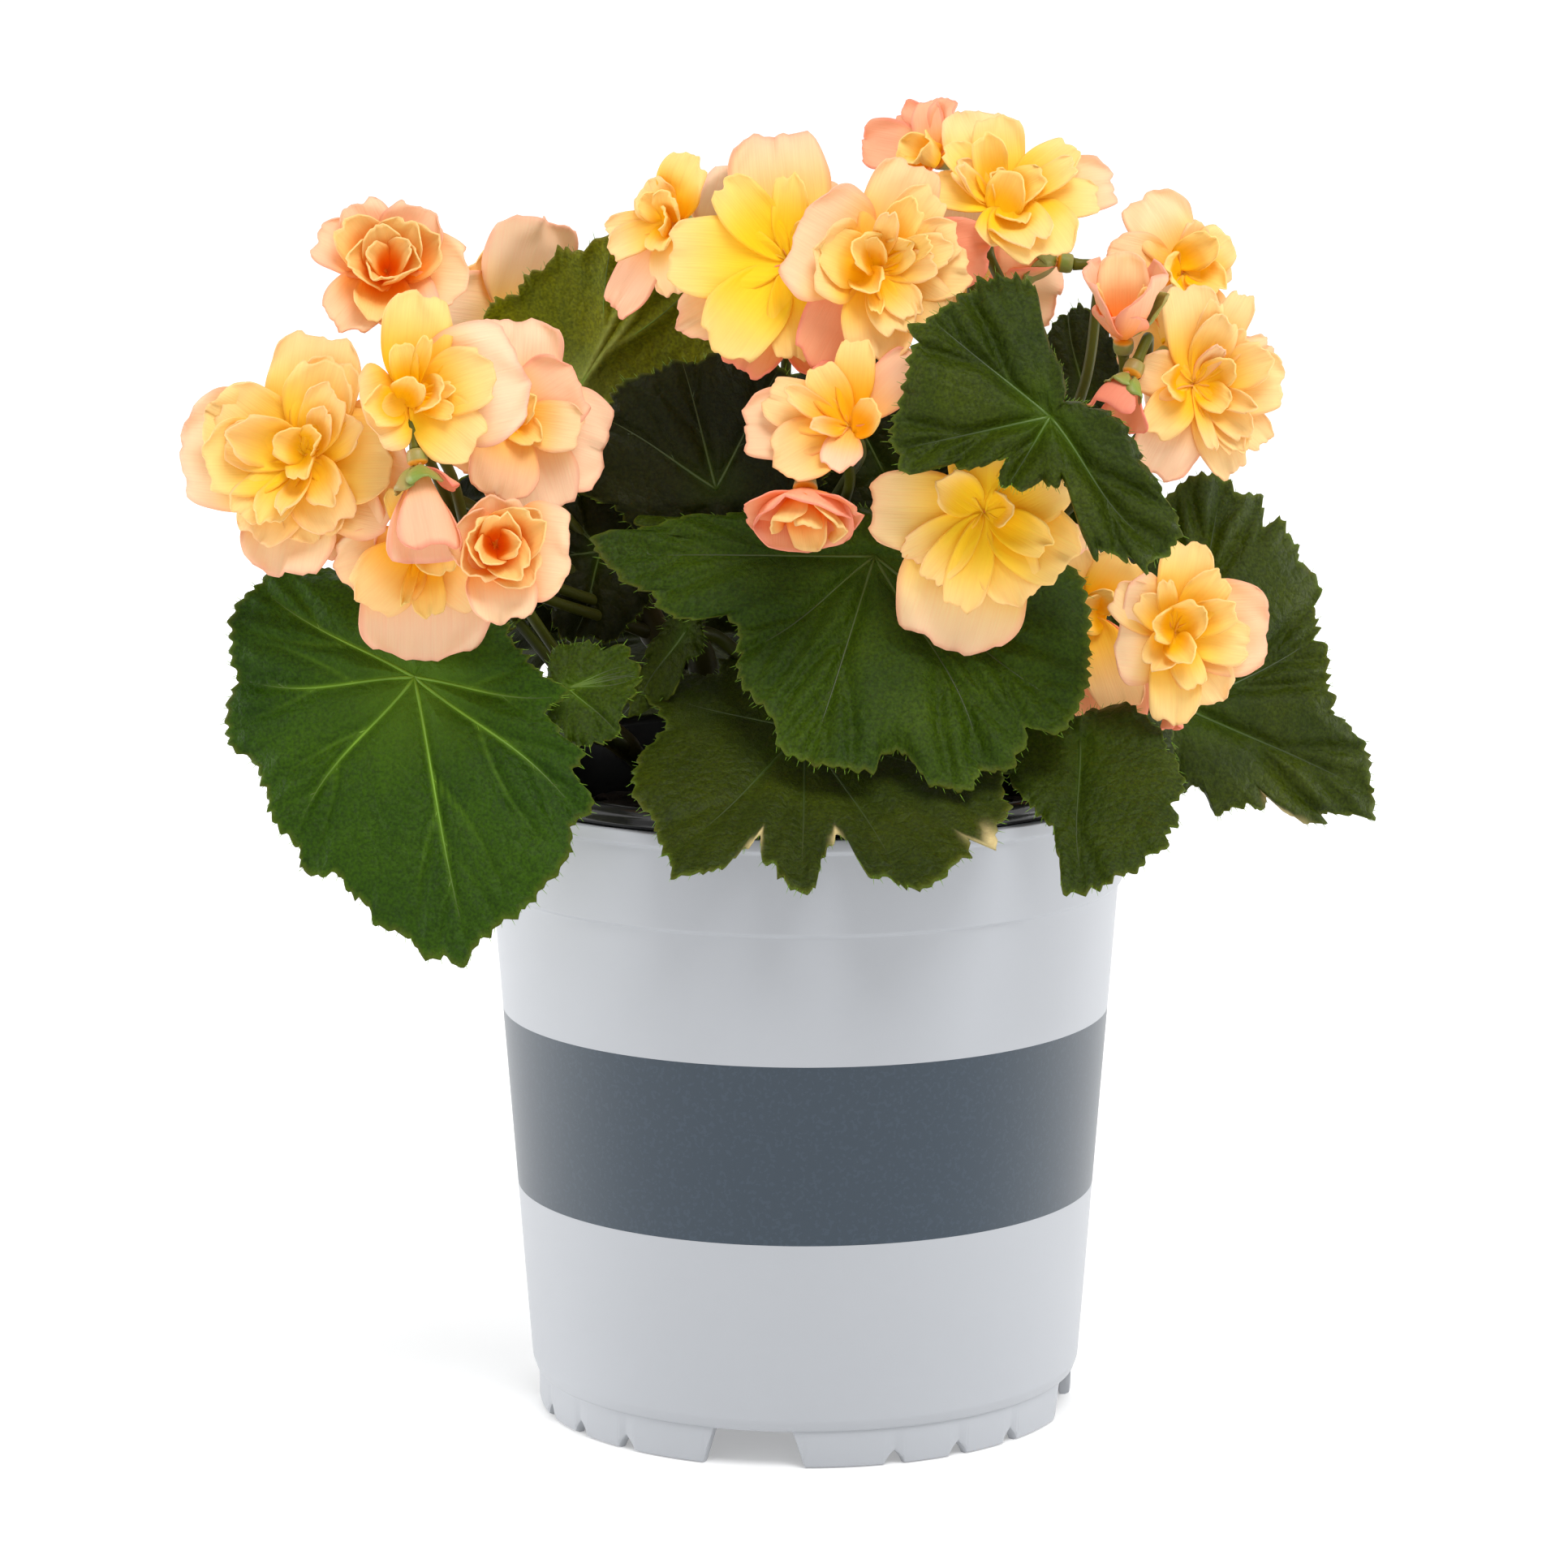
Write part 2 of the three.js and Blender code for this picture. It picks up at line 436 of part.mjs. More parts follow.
// A petal is [degrees round the face, reach from the middle, width, lift of its tip].
// Inner says how many small upright petals stand in the middle. Half marks buds and half-open blooms.
const bloomTable = [
  {
    name: "bloom_left_1", centre: [-102, -38, 293], face: [5, 25], inner: 2,
    petals: [[117, 17, 14, 8], [154, 18, 14, 6], [54, 17, 16, 8], [-9, 19, 20, 5], [-70, 16, 18, 7], [-128, 19, 16, 6]],
  },
  {
    name: "bloom_left_2", centre: [-94, -80, 267], face: [5, 12], inner: 1,
    petals: [[84, 25, 17, 5], [13, 28, 30, 1], [200, 13, 21, 4], [-40, 20, 17, 6], [18, 20, 15, 8], [100, 13, 7, 10]],
  },
  {
    name: "bloom_left_3", centre: [-120, -62, 251], face: [-14, 10], inner: 0,
    petals: [[177, 32.5, 30, 0], [86, 30, 25, 2], [-10, 27, 33, 0], [-100, 28, 24, 0], [147, 23, 18, 6],
      [184, 21, 19, 10], [-58, 19, 16, 7], [71, 22, 13, 8]],
  },
  {
    name: "bloom_left_4", centre: [-72, -46, 258], face: [15, 8], inner: 0,
    petals: [[83, 25, 24, 0], [32, 19, 20, 5], [-18, 26, 26, -1], [-74, 25, 24, 0], [-105, 17, 13, 6], [-10, 15, 13, 8]],
  },
  {
    name: "bloom_left_5", centre: [-92, -66, 232], face: [2, -8], inner: 1,
    petals: [[-90, 30, 31, 0], [-161, 20, 15, 2], [-42, 20, 16, 5], [-137, 19, 13, 8], [-85, 17, 9, 9], [112, 15, 11, 6]],
  },
  {
    name: "bloom_left_6", centre: [-74, -80, 232], face: [8, 10], inner: 2,
    petals: [[-8, 17.5, 23, 3], [-86, 18, 17, 5], [92, 12, 14, 7], [165, 10, 15, 8]],
  },
  {
    name: "bloom_middle_1", centre: [-31, -28, 305], face: [-38, 12], inner: 1,
    petals: [[68, 17, 16, 5], [135, 14, 13, 5], [-169, 20, 8, 5], [-148, 18, 9, 7], [-126, 28, 14, 1], [-80, 18, 14, 2]],
  },
  {
    name: "bloom_middle_2", centre: [-4, -50, 297], face: [-6, 10], inner: 0,
    petals: [[98, 31, 24, 0], [57, 23, 14, 0], [-148, 30, 15, 0], [-106, 28, 15, -1], [178, 27, 17, 8],
      [-125, 26, 18, 8], [123, 22, 10, 10], [-83, 23, 10, 6]],
  },
  {
    name: "bloom_middle_3", centre: [16, -60, 296], face: [0, 12], inner: 0,
    petals: [[155, 20, 28, 3], [67, 27, 18, 2], [12, 28, 18, -1], [-85, 22, 17, 3], [22, 22, 12, 6],
      [-20, 22, 13, 4], [56, 17, 9, 12]],
  },
  {
    name: "bloom_middle_4", centre: [11, -70, 259], face: [-8, 22], inner: 1,
    petals: [[179, 25, 17, 2], [49, 22, 12, 5], [-100, 12, 14, 6], [93, 18, 10, 8], [120, 16, 10, 8], [160, 20, 13, 6]],
  },
  {
    name: "bloom_middle_5", centre: [0, -72, 245], face: [-4, -48], inner: 1,
    petals: [[170, 12, 14, 6], [15, 13, 14, 6], [-90, 12, 14, 6], [90, 12, 14, 5]],
  },
  {
    name: "bloom_top_1", centre: [47, -50, 310], face: [8, 36], inner: 1,
    petals: [[102, 27, 19, 2], [12, 29, 17, 2], [165, 17, 13, 3], [-58, 18, 20, 4], [35, 22, 11, 7],
      [134, 18, 10, 8], [-100, 14, 12, 6]],
  },
  {
    name: "bloom_top_2", centre: [33, -20, 320], face: [-55, 20], inner: 0,
    petals: [[178, 24, 13, 6], [150, 18, 13, 4], [60, 14, 12, 6], [-100, 12, 12, 6]],
  },
  {
    name: "bloom_top_3", centre: [63, -22, 294.5], face: [-92, -4], inner: 0, half: true,
    petals: [[90, 6, 12, 22], [-90, 7, 12, 17], [0, 6, 12, 16]],
  },
  {
    name: "bloom_right_1", centre: [77, -52, 278], face: [0, 74], inner: 0, half: true,
    petals: [[180, 8, 15, 21], [0, 9, 15, 20], [-90, 6, 15, 19], [90, 6, 13, 21]],
  },
  {
    name: "bloom_right_2", centre: [93, -12, 291], face: [30, 14], inner: 0,
    petals: [[110, 21, 19, 1], [165, 22, 14, 1], [75, 13, 10, 5], [32, 15, 12, 5], [4, 14, 12, 4], [-80, 15, 13, 2]],
  },
  {
    name: "bloom_right_3", centre: [94, -45, 267], face: [14, 6], inner: 0,
    petals: [[94, 23, 15, 6], [-112, 25, 18, 1], [59, 24, 10, 5], [0, 21, 16, 6],
      [-69, 24, 11, 3], [-39, 23, 11, 2], [160, 12, 12, 3]],
  },
  {
    name: "bloom_right_4", centre: [89, -58, 208], face: [6, 4], inner: 0,
    petals: [[79, 22, 14, 5], [3, 24, 24, 0], [172, 14, 26, 2], [-90, 22, 13, 3], [-54, 20, 14, 1],
      [-10, 18, 12, 6], [53, 17, 10, 8], [-128, 11, 10, 8]],
  },
  {
    name: "bloom_right_5", centre: [71, -36, 209], face: [-2, 2], inner: 0,
    petals: [[-80, 30, 22, 0], [-68, 23, 13, 6], [60, 17, 14, 5], [100, 17, 12, 2], [180, 14, 13, 3]],
  },
  {
    name: "bloom_front", centre: [43, -70, 239], face: [0, 2], inner: 0,
    petals: [[-105, 34, 31, 0], [178, 27, 20, 2], [-28, 23, 18, 5], [-67, 22, 15, 5], [-105, 23, 12, 9],
      [142, 14, 12, 9], [27, 21, 17, 4], [90, 17, 17, 2]],
  },
  { name: "bud_left", centre: [-92, -86, 253], face: [20, -66], inner: 0, half: true, petals: [[0, 8, 16, 20], [180, 6, 15, 18]] },
  { name: "bud_right", centre: [79, -56, 271], face: [-40, -52], inner: 0, half: true, petals: [[0, 6, 12, 12], [180, 6, 12, 12]] },
  { name: "bud_low", centre: [89.5, -46, 189], face: [10, -72], inner: 0, half: true, petals: [[0, 2, 7, 7], [180, 2, 7, 7]] },
  // The far side.
  { name: "bloom_rear_1", centre: [92, 26, 266], face: [125, 15], inner: 0, size: 27, seed: 3 },
  { name: "bloom_rear_2", centre: [38, 50, 286], face: [162, 25], inner: 0, size: 28, seed: 7 },
  { name: "bloom_rear_3", centre: [-20, 38, 288], face: [190, 30], inner: 0, size: 27, seed: 11 },
  { name: "bloom_rear_4", centre: [-74, 36, 272], face: [215, 18], inner: 0, size: 28, seed: 15 },
  { name: "bloom_rear_5", centre: [26, 82, 226], face: [172, 5], inner: 0, size: 26, seed: 19 },
];

// The petals of a bloom that no one petal of is laid out: four wide outer ones and two inside them.
function plainPetals(size, seed) {
  const outer = [0, 1, 2, 3].map((i) => [90 * i + 20 * draw(seed, i), size * (0.9 + 0.2 * draw(seed, i + 9)), 0.95 * size, 1]);
  const inside = [0, 1].map((i) => [180 * i + 55 + 20 * draw(seed, i + 4), 0.72 * size, 0.55 * size, 6 + i]);
  return [...outer, ...inside];
}

// The small inner petals: each a golden angle on, shorter, narrower and more upright than the last.
function innerPetals(bloom) {
  const scale = bloom.half ? 0.6 : 1;
  return Array.from({ length: bloom.inner }, (_, i) => [
    137.5 * i + 60 * draw(bloom.centre[0], 1),
    scale * (11 - 1.6 * i),
    scale * (10 - 0.7 * i),
    (bloom.half ? 15 : 11) + 0.8 * i,
  ]);
}

// Half the width of a petal along its length, as a share of its widest.
const petalSpread = (s) => (s < 0.6 ? Math.sin((Math.PI / 2) * (s / 0.6) ** 0.9) : Math.sqrt(1 - ((s - 0.6) / 0.4) ** 2));

// A point of a petal: s from its root to its tip, t across it from -1 to 1.
function petalPoint(bloom, frame, [angle, reach, width, lift], s, t) {
  const upright = Math.min(Math.max(lift / reach, 0), 1);
  const knee = [reach * (0.45 + 0.4 * upright), lift * (0.9 - 0.6 * upright) + 2 * (1 - upright)];
  const bezier = (a, b, c) => (1 - s) ** 2 * a + 2 * s * (1 - s) * b + s * s * c;
  const out = bezier(1.2, knee[0], reach);
  const rise = bezier(1, knee[1], lift);
  const half = (width / 2) * petalSpread(s);
  const cup = (0.1 + 0.35 * upright) * half * t * t;
  const fold = t * half;
  const lean = cup * upright;
  const [c, d] = [Math.cos(rad(angle)), Math.sin(rad(angle))];
  const r = out - lean;
  return at(bloom.centre, frame, r * c - fold * d, r * d + fold * c, rise + cup * (1 - 0.5 * upright));
}

function petal(bloom, frame, spec) {
  const large = spec[2] > LARGE_PETAL;
  const rows = large ? [0.55, 0.88] : [0.66];
  const points = [petalPoint(bloom, frame, spec, 0, 0)];
  const faces = [];
  for (const s of rows) for (const t of [-1, 0, 1]) points.push(petalPoint(bloom, frame, spec, s, t));
  points.push(petalPoint(bloom, frame, spec, 1, 0));
  faces.push([0, 2, 1], [0, 3, 2]);
  if (large) faces.push([1, 2, 4], [2, 5, 4], [2, 3, 5], [3, 6, 5]);
  const last = points.length - 1;
  faces.push([last - 3, last - 2, last], [last - 2, last - 1, last]);
  return shell(points, faces, PETAL_THICKNESS);
}

const coreDepth = (bloom) => (bloom.half ? 0.8 * CORE_RADIUS : CORE_RADIUS); // behind the bloom's middle

function coreSolid(bloom, frame) {
  const depth = coreDepth(bloom);
  const core = new THREE.CylinderGeometry(depth, CORE_FOOT, depth + CORE_TOP, 6);
  const place = new THREE.Matrix4().makeBasis(frame.right, frame.axis, frame.up.clone().negate());
  place.setPosition(at(bloom.centre, frame, 0, 0, (CORE_TOP - depth) / 2));
  return toSolid(core.applyMatrix4(place));
}

function bloomSolid(bloom) {
  const frame = facing(bloom.face);
  const parts = [coreSolid(bloom, frame)];
  for (const spec of [...bloom.petals, ...innerPetals(bloom)]) parts.push(petal(bloom, frame, spec));
  return mainBody(union(parts));
}

const blooms = bloomTable.map((bloom) => ({
  half: false,
  ...bloom,
  petals: bloom.petals ?? plainPetals(bloom.size, bloom.seed),
}));

// ---------------------------------------------------------------- stems

// A stem stands at foot, bends to its fork, and carries leaves and blooms. Each of these is given by its
// name, the share of the stem's length where its stalk leaves, and the points that its stalk passes.
const stemTable = [
  {
    name: "stem_left", foot: [-22, -8], fork: [-42, -6, 208], radius: 3.4,
    carries: [["bloom_left_1", 0.97, [-72, -8, 262]], ["bloom_left_2", 0.93, [-80, -42, 226], [-89, -60, 246]],
      ["bloom_left_3", 0.9, [-84, -30, 236]], ["bloom_left_4", 0.97], ["bud_left", 0.88, [-78, -44, 222], [-86, -66, 249]]],
  },
  {
    name: "stem_left_low", foot: [-32, 6], fork: [-50, -14, 176], radius: 3,
    carries: [["leaf_left_low", 0.9], ["leaf_young", 0.85], ["bloom_left_5", 0.97], ["bloom_left_6", 0.95]],
  },
  {
    name: "stem_middle", foot: [-4, 0], fork: [-6, 2, 232], radius: 3.6,
    carries: [["bloom_middle_1", 0.97, [-20, -4, 284]], ["bloom_middle_2", 0.95, [-4, -12, 284]],
      ["bloom_middle_3", 0.93, [12, -14, 278]], ["leaf_middle_back", 0.9], ["bloom_middle_4", 0.82, [10, -20, 240]],
      ["bloom_middle_5", 0.78, [11, -40, 244]]],
  },
  {
    name: "stem_front", foot: [4, -26], fork: [8, -30, 172], radius: 3.2,
    carries: [["leaf_front_low", 0.9], ["leaf_middle_large", 0.97]],
  },
  {
    name: "stem_right", foot: [22, -14], fork: [46, -22, 222], radius: 3.6,
    carries: [["bloom_top_1", 0.97, [50, -40, 284]], ["bloom_top_2", 0.95, [42, -4, 290]],
      ["bloom_top_3", 0.93, [68, -26, 262], [72, -23, 286]], ["bloom_right_1", 0.9, [72, -46, 256]],
      ["bloom_right_3", 0.86, [82, -30, 252]], ["leaf_top_front", 0.88], ["bud_right", 0.9, [80, -40, 262]],
      ["bloom_front", 0.8, [46, -30, 238]]],
  },
  {
    name: "stem_right_low", foot: [30, 0], fork: [60, -8, 176], radius: 3,
    carries: [["leaf_right_large", 0.9], ["leaf_side_right", 0.97], ["leaf_right_low", 0.9, [64, -32, 184]], ["bloom_right_4", 0.97, [94, -34, 190]], ["bloom_right_5", 0.95],
      ["bud_low", 0.85, [85, -30, 192]]],
  },
  {
    name: "stem_rear_right", foot: [18, 22], fork: [40, 18, 208], radius: 3.4,
    carries: [["bloom_right_2", 0.97], ["bloom_rear_1", 0.97], ["bloom_rear_2", 0.95], ["leaf_rear_1", 0.8],
      ["leaf_rear_2", 0.7], ["leaf_rear_5", 0.9], ["bloom_rear_5", 0.8]],
  },
  {
    name: "stem_rear_left", foot: [-20, 20], fork: [-32, 20, 208], radius: 3.4,
    carries: [["bloom_rear_3", 0.97], ["bloom_rear_4", 0.95, [-46, 28, 240]], ["leaf_rear_3", 0.7],
      ["leaf_rear_4", 0.75], ["leaf_rear_6", 0.9], ["leaf_rear_7", 0.9], ["leaf_left_back", 0.95],
      ["leaf_left_high", 0.97], ["leaf_side_left", 0.97, [-62, 22, 210]]],
  },
];

const soilSurface = SOIL_TOP + SOIL_MOUND;

function mainPath(stem) {
  const foot = new THREE.Vector3(...stem.foot, soilSurface - STEM_ROOT);
  const fork = new THREE.Vector3(...stem.fork);
  const above = foot.clone().setZ(soilSurface + 0.35 * (fork.z - soilSurface));
  return new THREE.QuadraticBezierCurve3(foot, above, fork);
}

// Where a petiole or flower stalk ends, just short of the back of what it carries, and the way it comes in.
function seatOf(name) {
  const leaf = leaves.find((one) => one.name === name);
  if (leaf) {
    const hub = bladePoint(leaf, 0, 0);
    const x = bladePoint(leaf, 0, 0.2).sub(hub);
    const y = bladePoint(leaf, 90, 0.2).sub(hub);
    const outward = x.cross(y).normalize();
    return { end: hub.addScaledVector(outward, -(LEAF_THICKNESS / 2 + GAP + 0.3)), way: outward, radius: PETIOLE_RADIUS };
  }
  const bloom = blooms.find((one) => one.name === name);
  const frame = facing(bloom.face);
  return { end: at(bloom.centre, frame, 0, 0, -(coreDepth(bloom) + GAP)), way: frame.axis, radius: STALK_RADIUS, short: bloom.half };
}

function branch(path, [name, share, ...passes]) {
  const { end, way, radius, short } = seatOf(name);
  const start = path.getPoint(share);
  const reach = Math.min(0.4 * start.distanceTo(end), short ? 7 : 16);
  const arrive = end.clone().addScaledVector(way, -reach);
  const points = [start, ...passes.map((p) => new THREE.Vector3(...p)), arrive, end];
  const curve = new THREE.CatmullRomCurve3(points, false, "centripetal");
  return rod(curve, radius, points.length, STALK_SIDES);
}

function stemSolid(stem) {
  const path = mainPath(stem);
  return mainBody(union([rod(path, stem.radius, 4), ...stem.carries.map((one) => branch(path, one))]));
}

// ---------------------------------------------------------------- assembly

const finish = (color, roughness) => new THREE.MeshStandardMaterial({ color, roughness, metalness: 0 });
const MATERIALS = {
  cover: finish(0xb9bdc2, 0.5),
  black: finish(0x141414, 0.25),
  soil: finish(0x2a1e16, 0.95),
  stem: finish(0x7d8a45, 0.5),
  leaf: finish(0x234a1c, 0.45),
  petal: finish(0xf6c080, 0.6),
  bud: finish(0xee8f72, 0.6),
};

const plant = new THREE.Group();

function addNode(name, solid, material) {
  const mesh = new THREE.Mesh(toGeometry(solid), material);
  mesh.name = name;
  plant.add(mesh);
}

addNode("cover_pot", coverPot(), MATERIALS.cover);
addNode("growing_pot", growingPot(), MATERIALS.black);

// Each stem stands in a plain hole in the soil.
const holes = stemTable.map((stem) => {
  const path = mainPath(stem);
  path.v0.z -= GAP;
  return rod(path, stem.radius + GAP, 4);
});
addNode("soil", soilMass().subtract(union(holes)), MATERIALS.soil);
for (const stem of stemTable) addNode(stem.name, stemSolid(stem), MATERIALS.stem);
for (const leaf of leaves) addNode(leaf.name, blade(leaf), MATERIALS.leaf);
for (const bloom of blooms)
  addNode(bloom.name, bloomSolid(bloom), bloom.name.startsWith("bud") ? MATERIALS.bud : MATERIALS.petal);

export default plant;
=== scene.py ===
# %% [markdown]
# # A potted begonia
# A double-flowered begonia stands in its black growing pot, and the growing pot stands in a grey cover pot.
# The solids of the part are loaded first. They say where every leaf, bloom, stem and pot is, and how large.
# Each one is then replaced by a finer piece that keeps its form, so both models fill the same space.

# %% Load the solids
import json
import math

import bmesh
import bpy
import numpy as np
from mathutils import Matrix, Vector

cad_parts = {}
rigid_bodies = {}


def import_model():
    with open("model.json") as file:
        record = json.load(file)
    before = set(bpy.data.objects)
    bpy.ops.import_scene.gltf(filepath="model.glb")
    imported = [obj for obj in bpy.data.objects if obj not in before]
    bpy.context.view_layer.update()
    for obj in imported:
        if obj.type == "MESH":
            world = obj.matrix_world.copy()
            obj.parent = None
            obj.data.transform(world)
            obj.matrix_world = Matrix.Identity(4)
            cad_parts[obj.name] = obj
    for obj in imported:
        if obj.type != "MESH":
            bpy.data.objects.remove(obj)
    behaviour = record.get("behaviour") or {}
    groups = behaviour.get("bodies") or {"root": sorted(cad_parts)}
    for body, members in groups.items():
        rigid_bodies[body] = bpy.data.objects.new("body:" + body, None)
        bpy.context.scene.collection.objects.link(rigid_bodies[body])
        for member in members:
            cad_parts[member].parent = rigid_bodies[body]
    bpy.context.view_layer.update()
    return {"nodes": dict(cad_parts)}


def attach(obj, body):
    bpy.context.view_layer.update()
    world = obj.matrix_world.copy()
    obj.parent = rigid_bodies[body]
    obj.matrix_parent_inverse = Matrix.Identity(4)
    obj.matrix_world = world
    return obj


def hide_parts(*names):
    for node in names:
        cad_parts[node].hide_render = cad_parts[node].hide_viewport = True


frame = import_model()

print("solids:", len(frame["nodes"]))

# %% [markdown]
# ## Sizes and small helpers
# Sizes are written in millimetres, as a potter or a gardener would measure them, and turned into Blender's
# metres when a point is set. A leaf or a bloom is laid out in a frame of its own: its right, its up, and its
# axis, which points out of its face. The draw function gives the same irregular numbers in every run.

# %% Units, frames and draws
MM = 0.001
DRAW_SEED, DRAW_STEP, DRAW_SCALE = 12.9898, 78.233, 43758.5453


def facing(face):
    """The right, the up and the axis of a layout plane, from its azimuth and rise in degrees."""
    azimuth, rise = math.radians(face[0]), math.radians(face[1])
    axis = np.array([
        math.sin(azimuth) * math.cos(rise), -math.cos(azimuth) * math.cos(rise), math.sin(rise)])
    right = np.array([math.cos(azimuth), math.sin(azimuth), 0.0])
    return right, np.cross(axis, right), axis


def at(origin, axes, x, y, z):
    """Points at x, y, z in a frame, where x, y and z are numbers or equally long arrays."""
    right, up, axis = axes
    x, y, z = np.broadcast_arrays(x, y, z)
    return (np.array(origin, float) + x[..., None] * right + y[..., None] * up + z[..., None] * axis)


def draw(seed, step=0):
    """An irregular number between 0 and 1, the same in every run."""
    x = math.sin(seed * DRAW_SEED + step * DRAW_STEP) * DRAW_SCALE
    return x - math.floor(x)


def smooth(x, low, high):
    """0 below low, 1 above high, and a soft step between."""
    x = np.clip((x - low) / (high - low), 0, 1)
    return x * x * (3 - 2 * x)


print("a front leaf faces along", facing((0, 10))[2].round(3), "and three draws are",
      [round(draw(1, step), 2) for step in range(3)])

# %% [markdown]
# ## From a grid to a surface
# Petals, leaf blades, stalks and veins are all bent sheets. They could be modelled one by one, but there are
# some four hundred petals. So a grid is made by the operator, and each of its points is then moved to its
# place by a function of u and v, which run from 0 to 1 over the grid. Points can also keep marks, such as how
# far along the petal they lie, for the colours to follow.

# %% A grid that is bent into shape
MERGE_DISTANCE = 1e-7
MARKS = ("along", "across", "tone", "warm", "vein", "rim", "dry")


def new_sheet_mesh():
    """An empty mesh whose points can keep the marks."""
    bm = bmesh.new()
    for name in MARKS:
        bm.verts.layers.float.new(name)
    return bm


def sheet(bm, columns, rows, place, material=0, merge=False):
    """A grid whose points are moved by place(u, v), which gives points in mm and the marks to keep."""
    made = bmesh.ops.create_grid(bm, x_segments=columns, y_segments=rows, size=0.5)["verts"]
    flat = np.array([tuple(v.co) for v in made]) + 0.5
    spots, marks = place(flat[:, 0], flat[:, 1])
    spots = spots * MM
    layers = [(bm.verts.layers.float[name], values) for name, values in marks.items()]
    faces = set()
    for i, v in enumerate(made):
        v.co = spots[i]
        for layer, values in layers:
            v[layer] = values[i]
        faces.update(v.link_faces)
    for face in faces:
        face.material_index = material
        face.smooth = True
    if merge:
        bmesh.ops.remove_doubles(bm, verts=made, dist=MERGE_DISTANCE)


print("marks that a point can keep:", ", ".join(MARKS))

# %% [markdown]
# ## Tubes for stems, stalks and veins
# A stalk is round and bends freely. A curve object with a bevel could give it, but its thickness and its
# marks are easier to set point by point. So a tube is a grid rolled round a path: one edge of the grid meets
# the other, and they are merged. Its first and last rows have no radius, which closes the ends.

# %% A tube along a path
FIRST_SIDE = (0.3, 0.9, 0.2)


def tube(bm, path, radii, sides, material=0, marks=None):
    """A round tube along points, closed at both ends."""
    path = np.vstack([path[:1], path, path[-1:]])
    radii = np.concatenate([[0], radii, [0]])
    way = np.gradient(path[1:-1], axis=0)
    way = np.vstack([way[:1], way, way[-1:]])
    way /= np.linalg.norm(way, axis=1)[:, None] + 1e-12
    side = np.cross(way[0], FIRST_SIDE)
    sides_at = []
    for w in way:
        side = side - w * side.dot(w)
        side = side / np.linalg.norm(side)
        sides_at.append(side)
    sides_at = np.array(sides_at)
    other = np.cross(way, sides_at)
    rows = len(path) - 1

    def place(u, v):
        i = np.rint(v * rows).astype(int)
        turn = 2 * np.pi * u
        out = sides_at[i] * np.cos(turn)[:, None] + other[i] * np.sin(turn)[:, None]
        spots = path[i] + out * radii[i][:, None]
        kept = {"along": i / rows}
        for name, values in (marks or {}).items():
            kept[name] = values[np.clip(i - 1, 0, len(values) - 1)]
        return spots, kept

    sheet(bm, sides, rows, place, material, merge=True)


trial = new_sheet_mesh()
tube(trial, np.array([[0.0, 0, 0], [0, 0, 5], [0, 3, 9]]), np.array([1.0, 0.8, 0.6]), 8)
print("a trial tube has", len(trial.verts), "points, and is closed:", all(e.is_manifold for e in trial.edges))
trial.free()

# %% [markdown]
# ## A piece and the solid it stands for
# Each finished mesh becomes one object, named after its solid. It rides on the part's only body, takes the
# solid's place, and gets its finishes. A thin sheet gets its thickness from a Solidify modifier, half to each
# side, so that the sheet itself stays in the middle of the petal or blade.

# %% Make a piece
def piece(node, bm, materials, thickness=0.0, suffix="_fine", stands_for_solid=True):
    """Makes an object named after its solid, with its finishes, parented to the body, and hides the solid it
    stands for.
    """
    name = node + suffix
    mesh = bpy.data.meshes.new(name)
    bm.to_mesh(mesh)
    bm.free()
    for material in materials:
        mesh.materials.append(material)
    obj = bpy.data.objects.new(name, mesh)
    bpy.context.scene.collection.objects.link(obj)
    if thickness:
        wall = obj.modifiers.new("wall", "SOLIDIFY")
        wall.thickness = thickness * MM
        wall.offset = 0
    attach(obj, "root")
    if stands_for_solid:
        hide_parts(node)
    return obj


print("solids that wait for a finer piece:", len(frame["nodes"]))

# %% [markdown]
# ## Node helpers
# Every surface is painted by nodes, with no picture. Writing out each node and link would hide the idea of a
# finish, so short helpers make them: a node with its inputs, a sum, a blend of two colours, a ramp, a mark.
# Colours are written as they look on a screen and turned into the renderer's own scale.

# %% Node helpers
SETTINGS = ("operation", "attribute_name", "feature")


def screen(red, green, blue):
    """A colour from its screen values of 0 to 255."""
    return tuple(((c / 255 + 0.055) / 1.055) ** 2.4 if c > 10 else c / 3294.6
                 for c in (red, green, blue)) + (1,)


def node(tree, kind, **inputs):
    """A node with its settings and inputs given by name: a value is set, and a socket is linked."""
    made = tree.nodes.new(kind)
    for name in SETTINGS:
        if name in inputs:
            setattr(made, name, inputs.pop(name))
    for name, value in inputs.items():
        socket = made.inputs[int(name[2:])] if name[:2] == "in" else made.inputs[name]
        if isinstance(value, bpy.types.NodeSocket):
            tree.links.new(value, socket)
        else:
            socket.default_value = value
    return made


def maths(tree, operation, a, b=0.0, c=0.0):
    return node(tree, "ShaderNodeMath", operation=operation, in0=a, in1=b, in2=c).outputs[0]


def blend(tree, share, a, b, way="MIX"):
    """A blend of colour a and colour b."""
    made = tree.nodes.new("ShaderNodeMix")
    made.data_type, made.blend_type = "RGBA", way
    for index, value in ((0, share), (6, a), (7, b)):
        if isinstance(value, bpy.types.NodeSocket):
            tree.links.new(value, made.inputs[index])
        else:
            made.inputs[index].default_value = value
    return made.outputs[2]


def ramp(tree, share, stops):
    """A colour that changes along a share, through (position, colour) stops."""
    made = node(tree, "ShaderNodeValToRGB", Fac=share)
    band = made.color_ramp
    band.elements[0].position, band.elements[0].color = stops[0]
    band.elements[1].position, band.elements[1].color = stops[-1]
    for position, colour in stops[1:-1]:
        band.elements.new(position).color = colour
    return made.outputs[0]


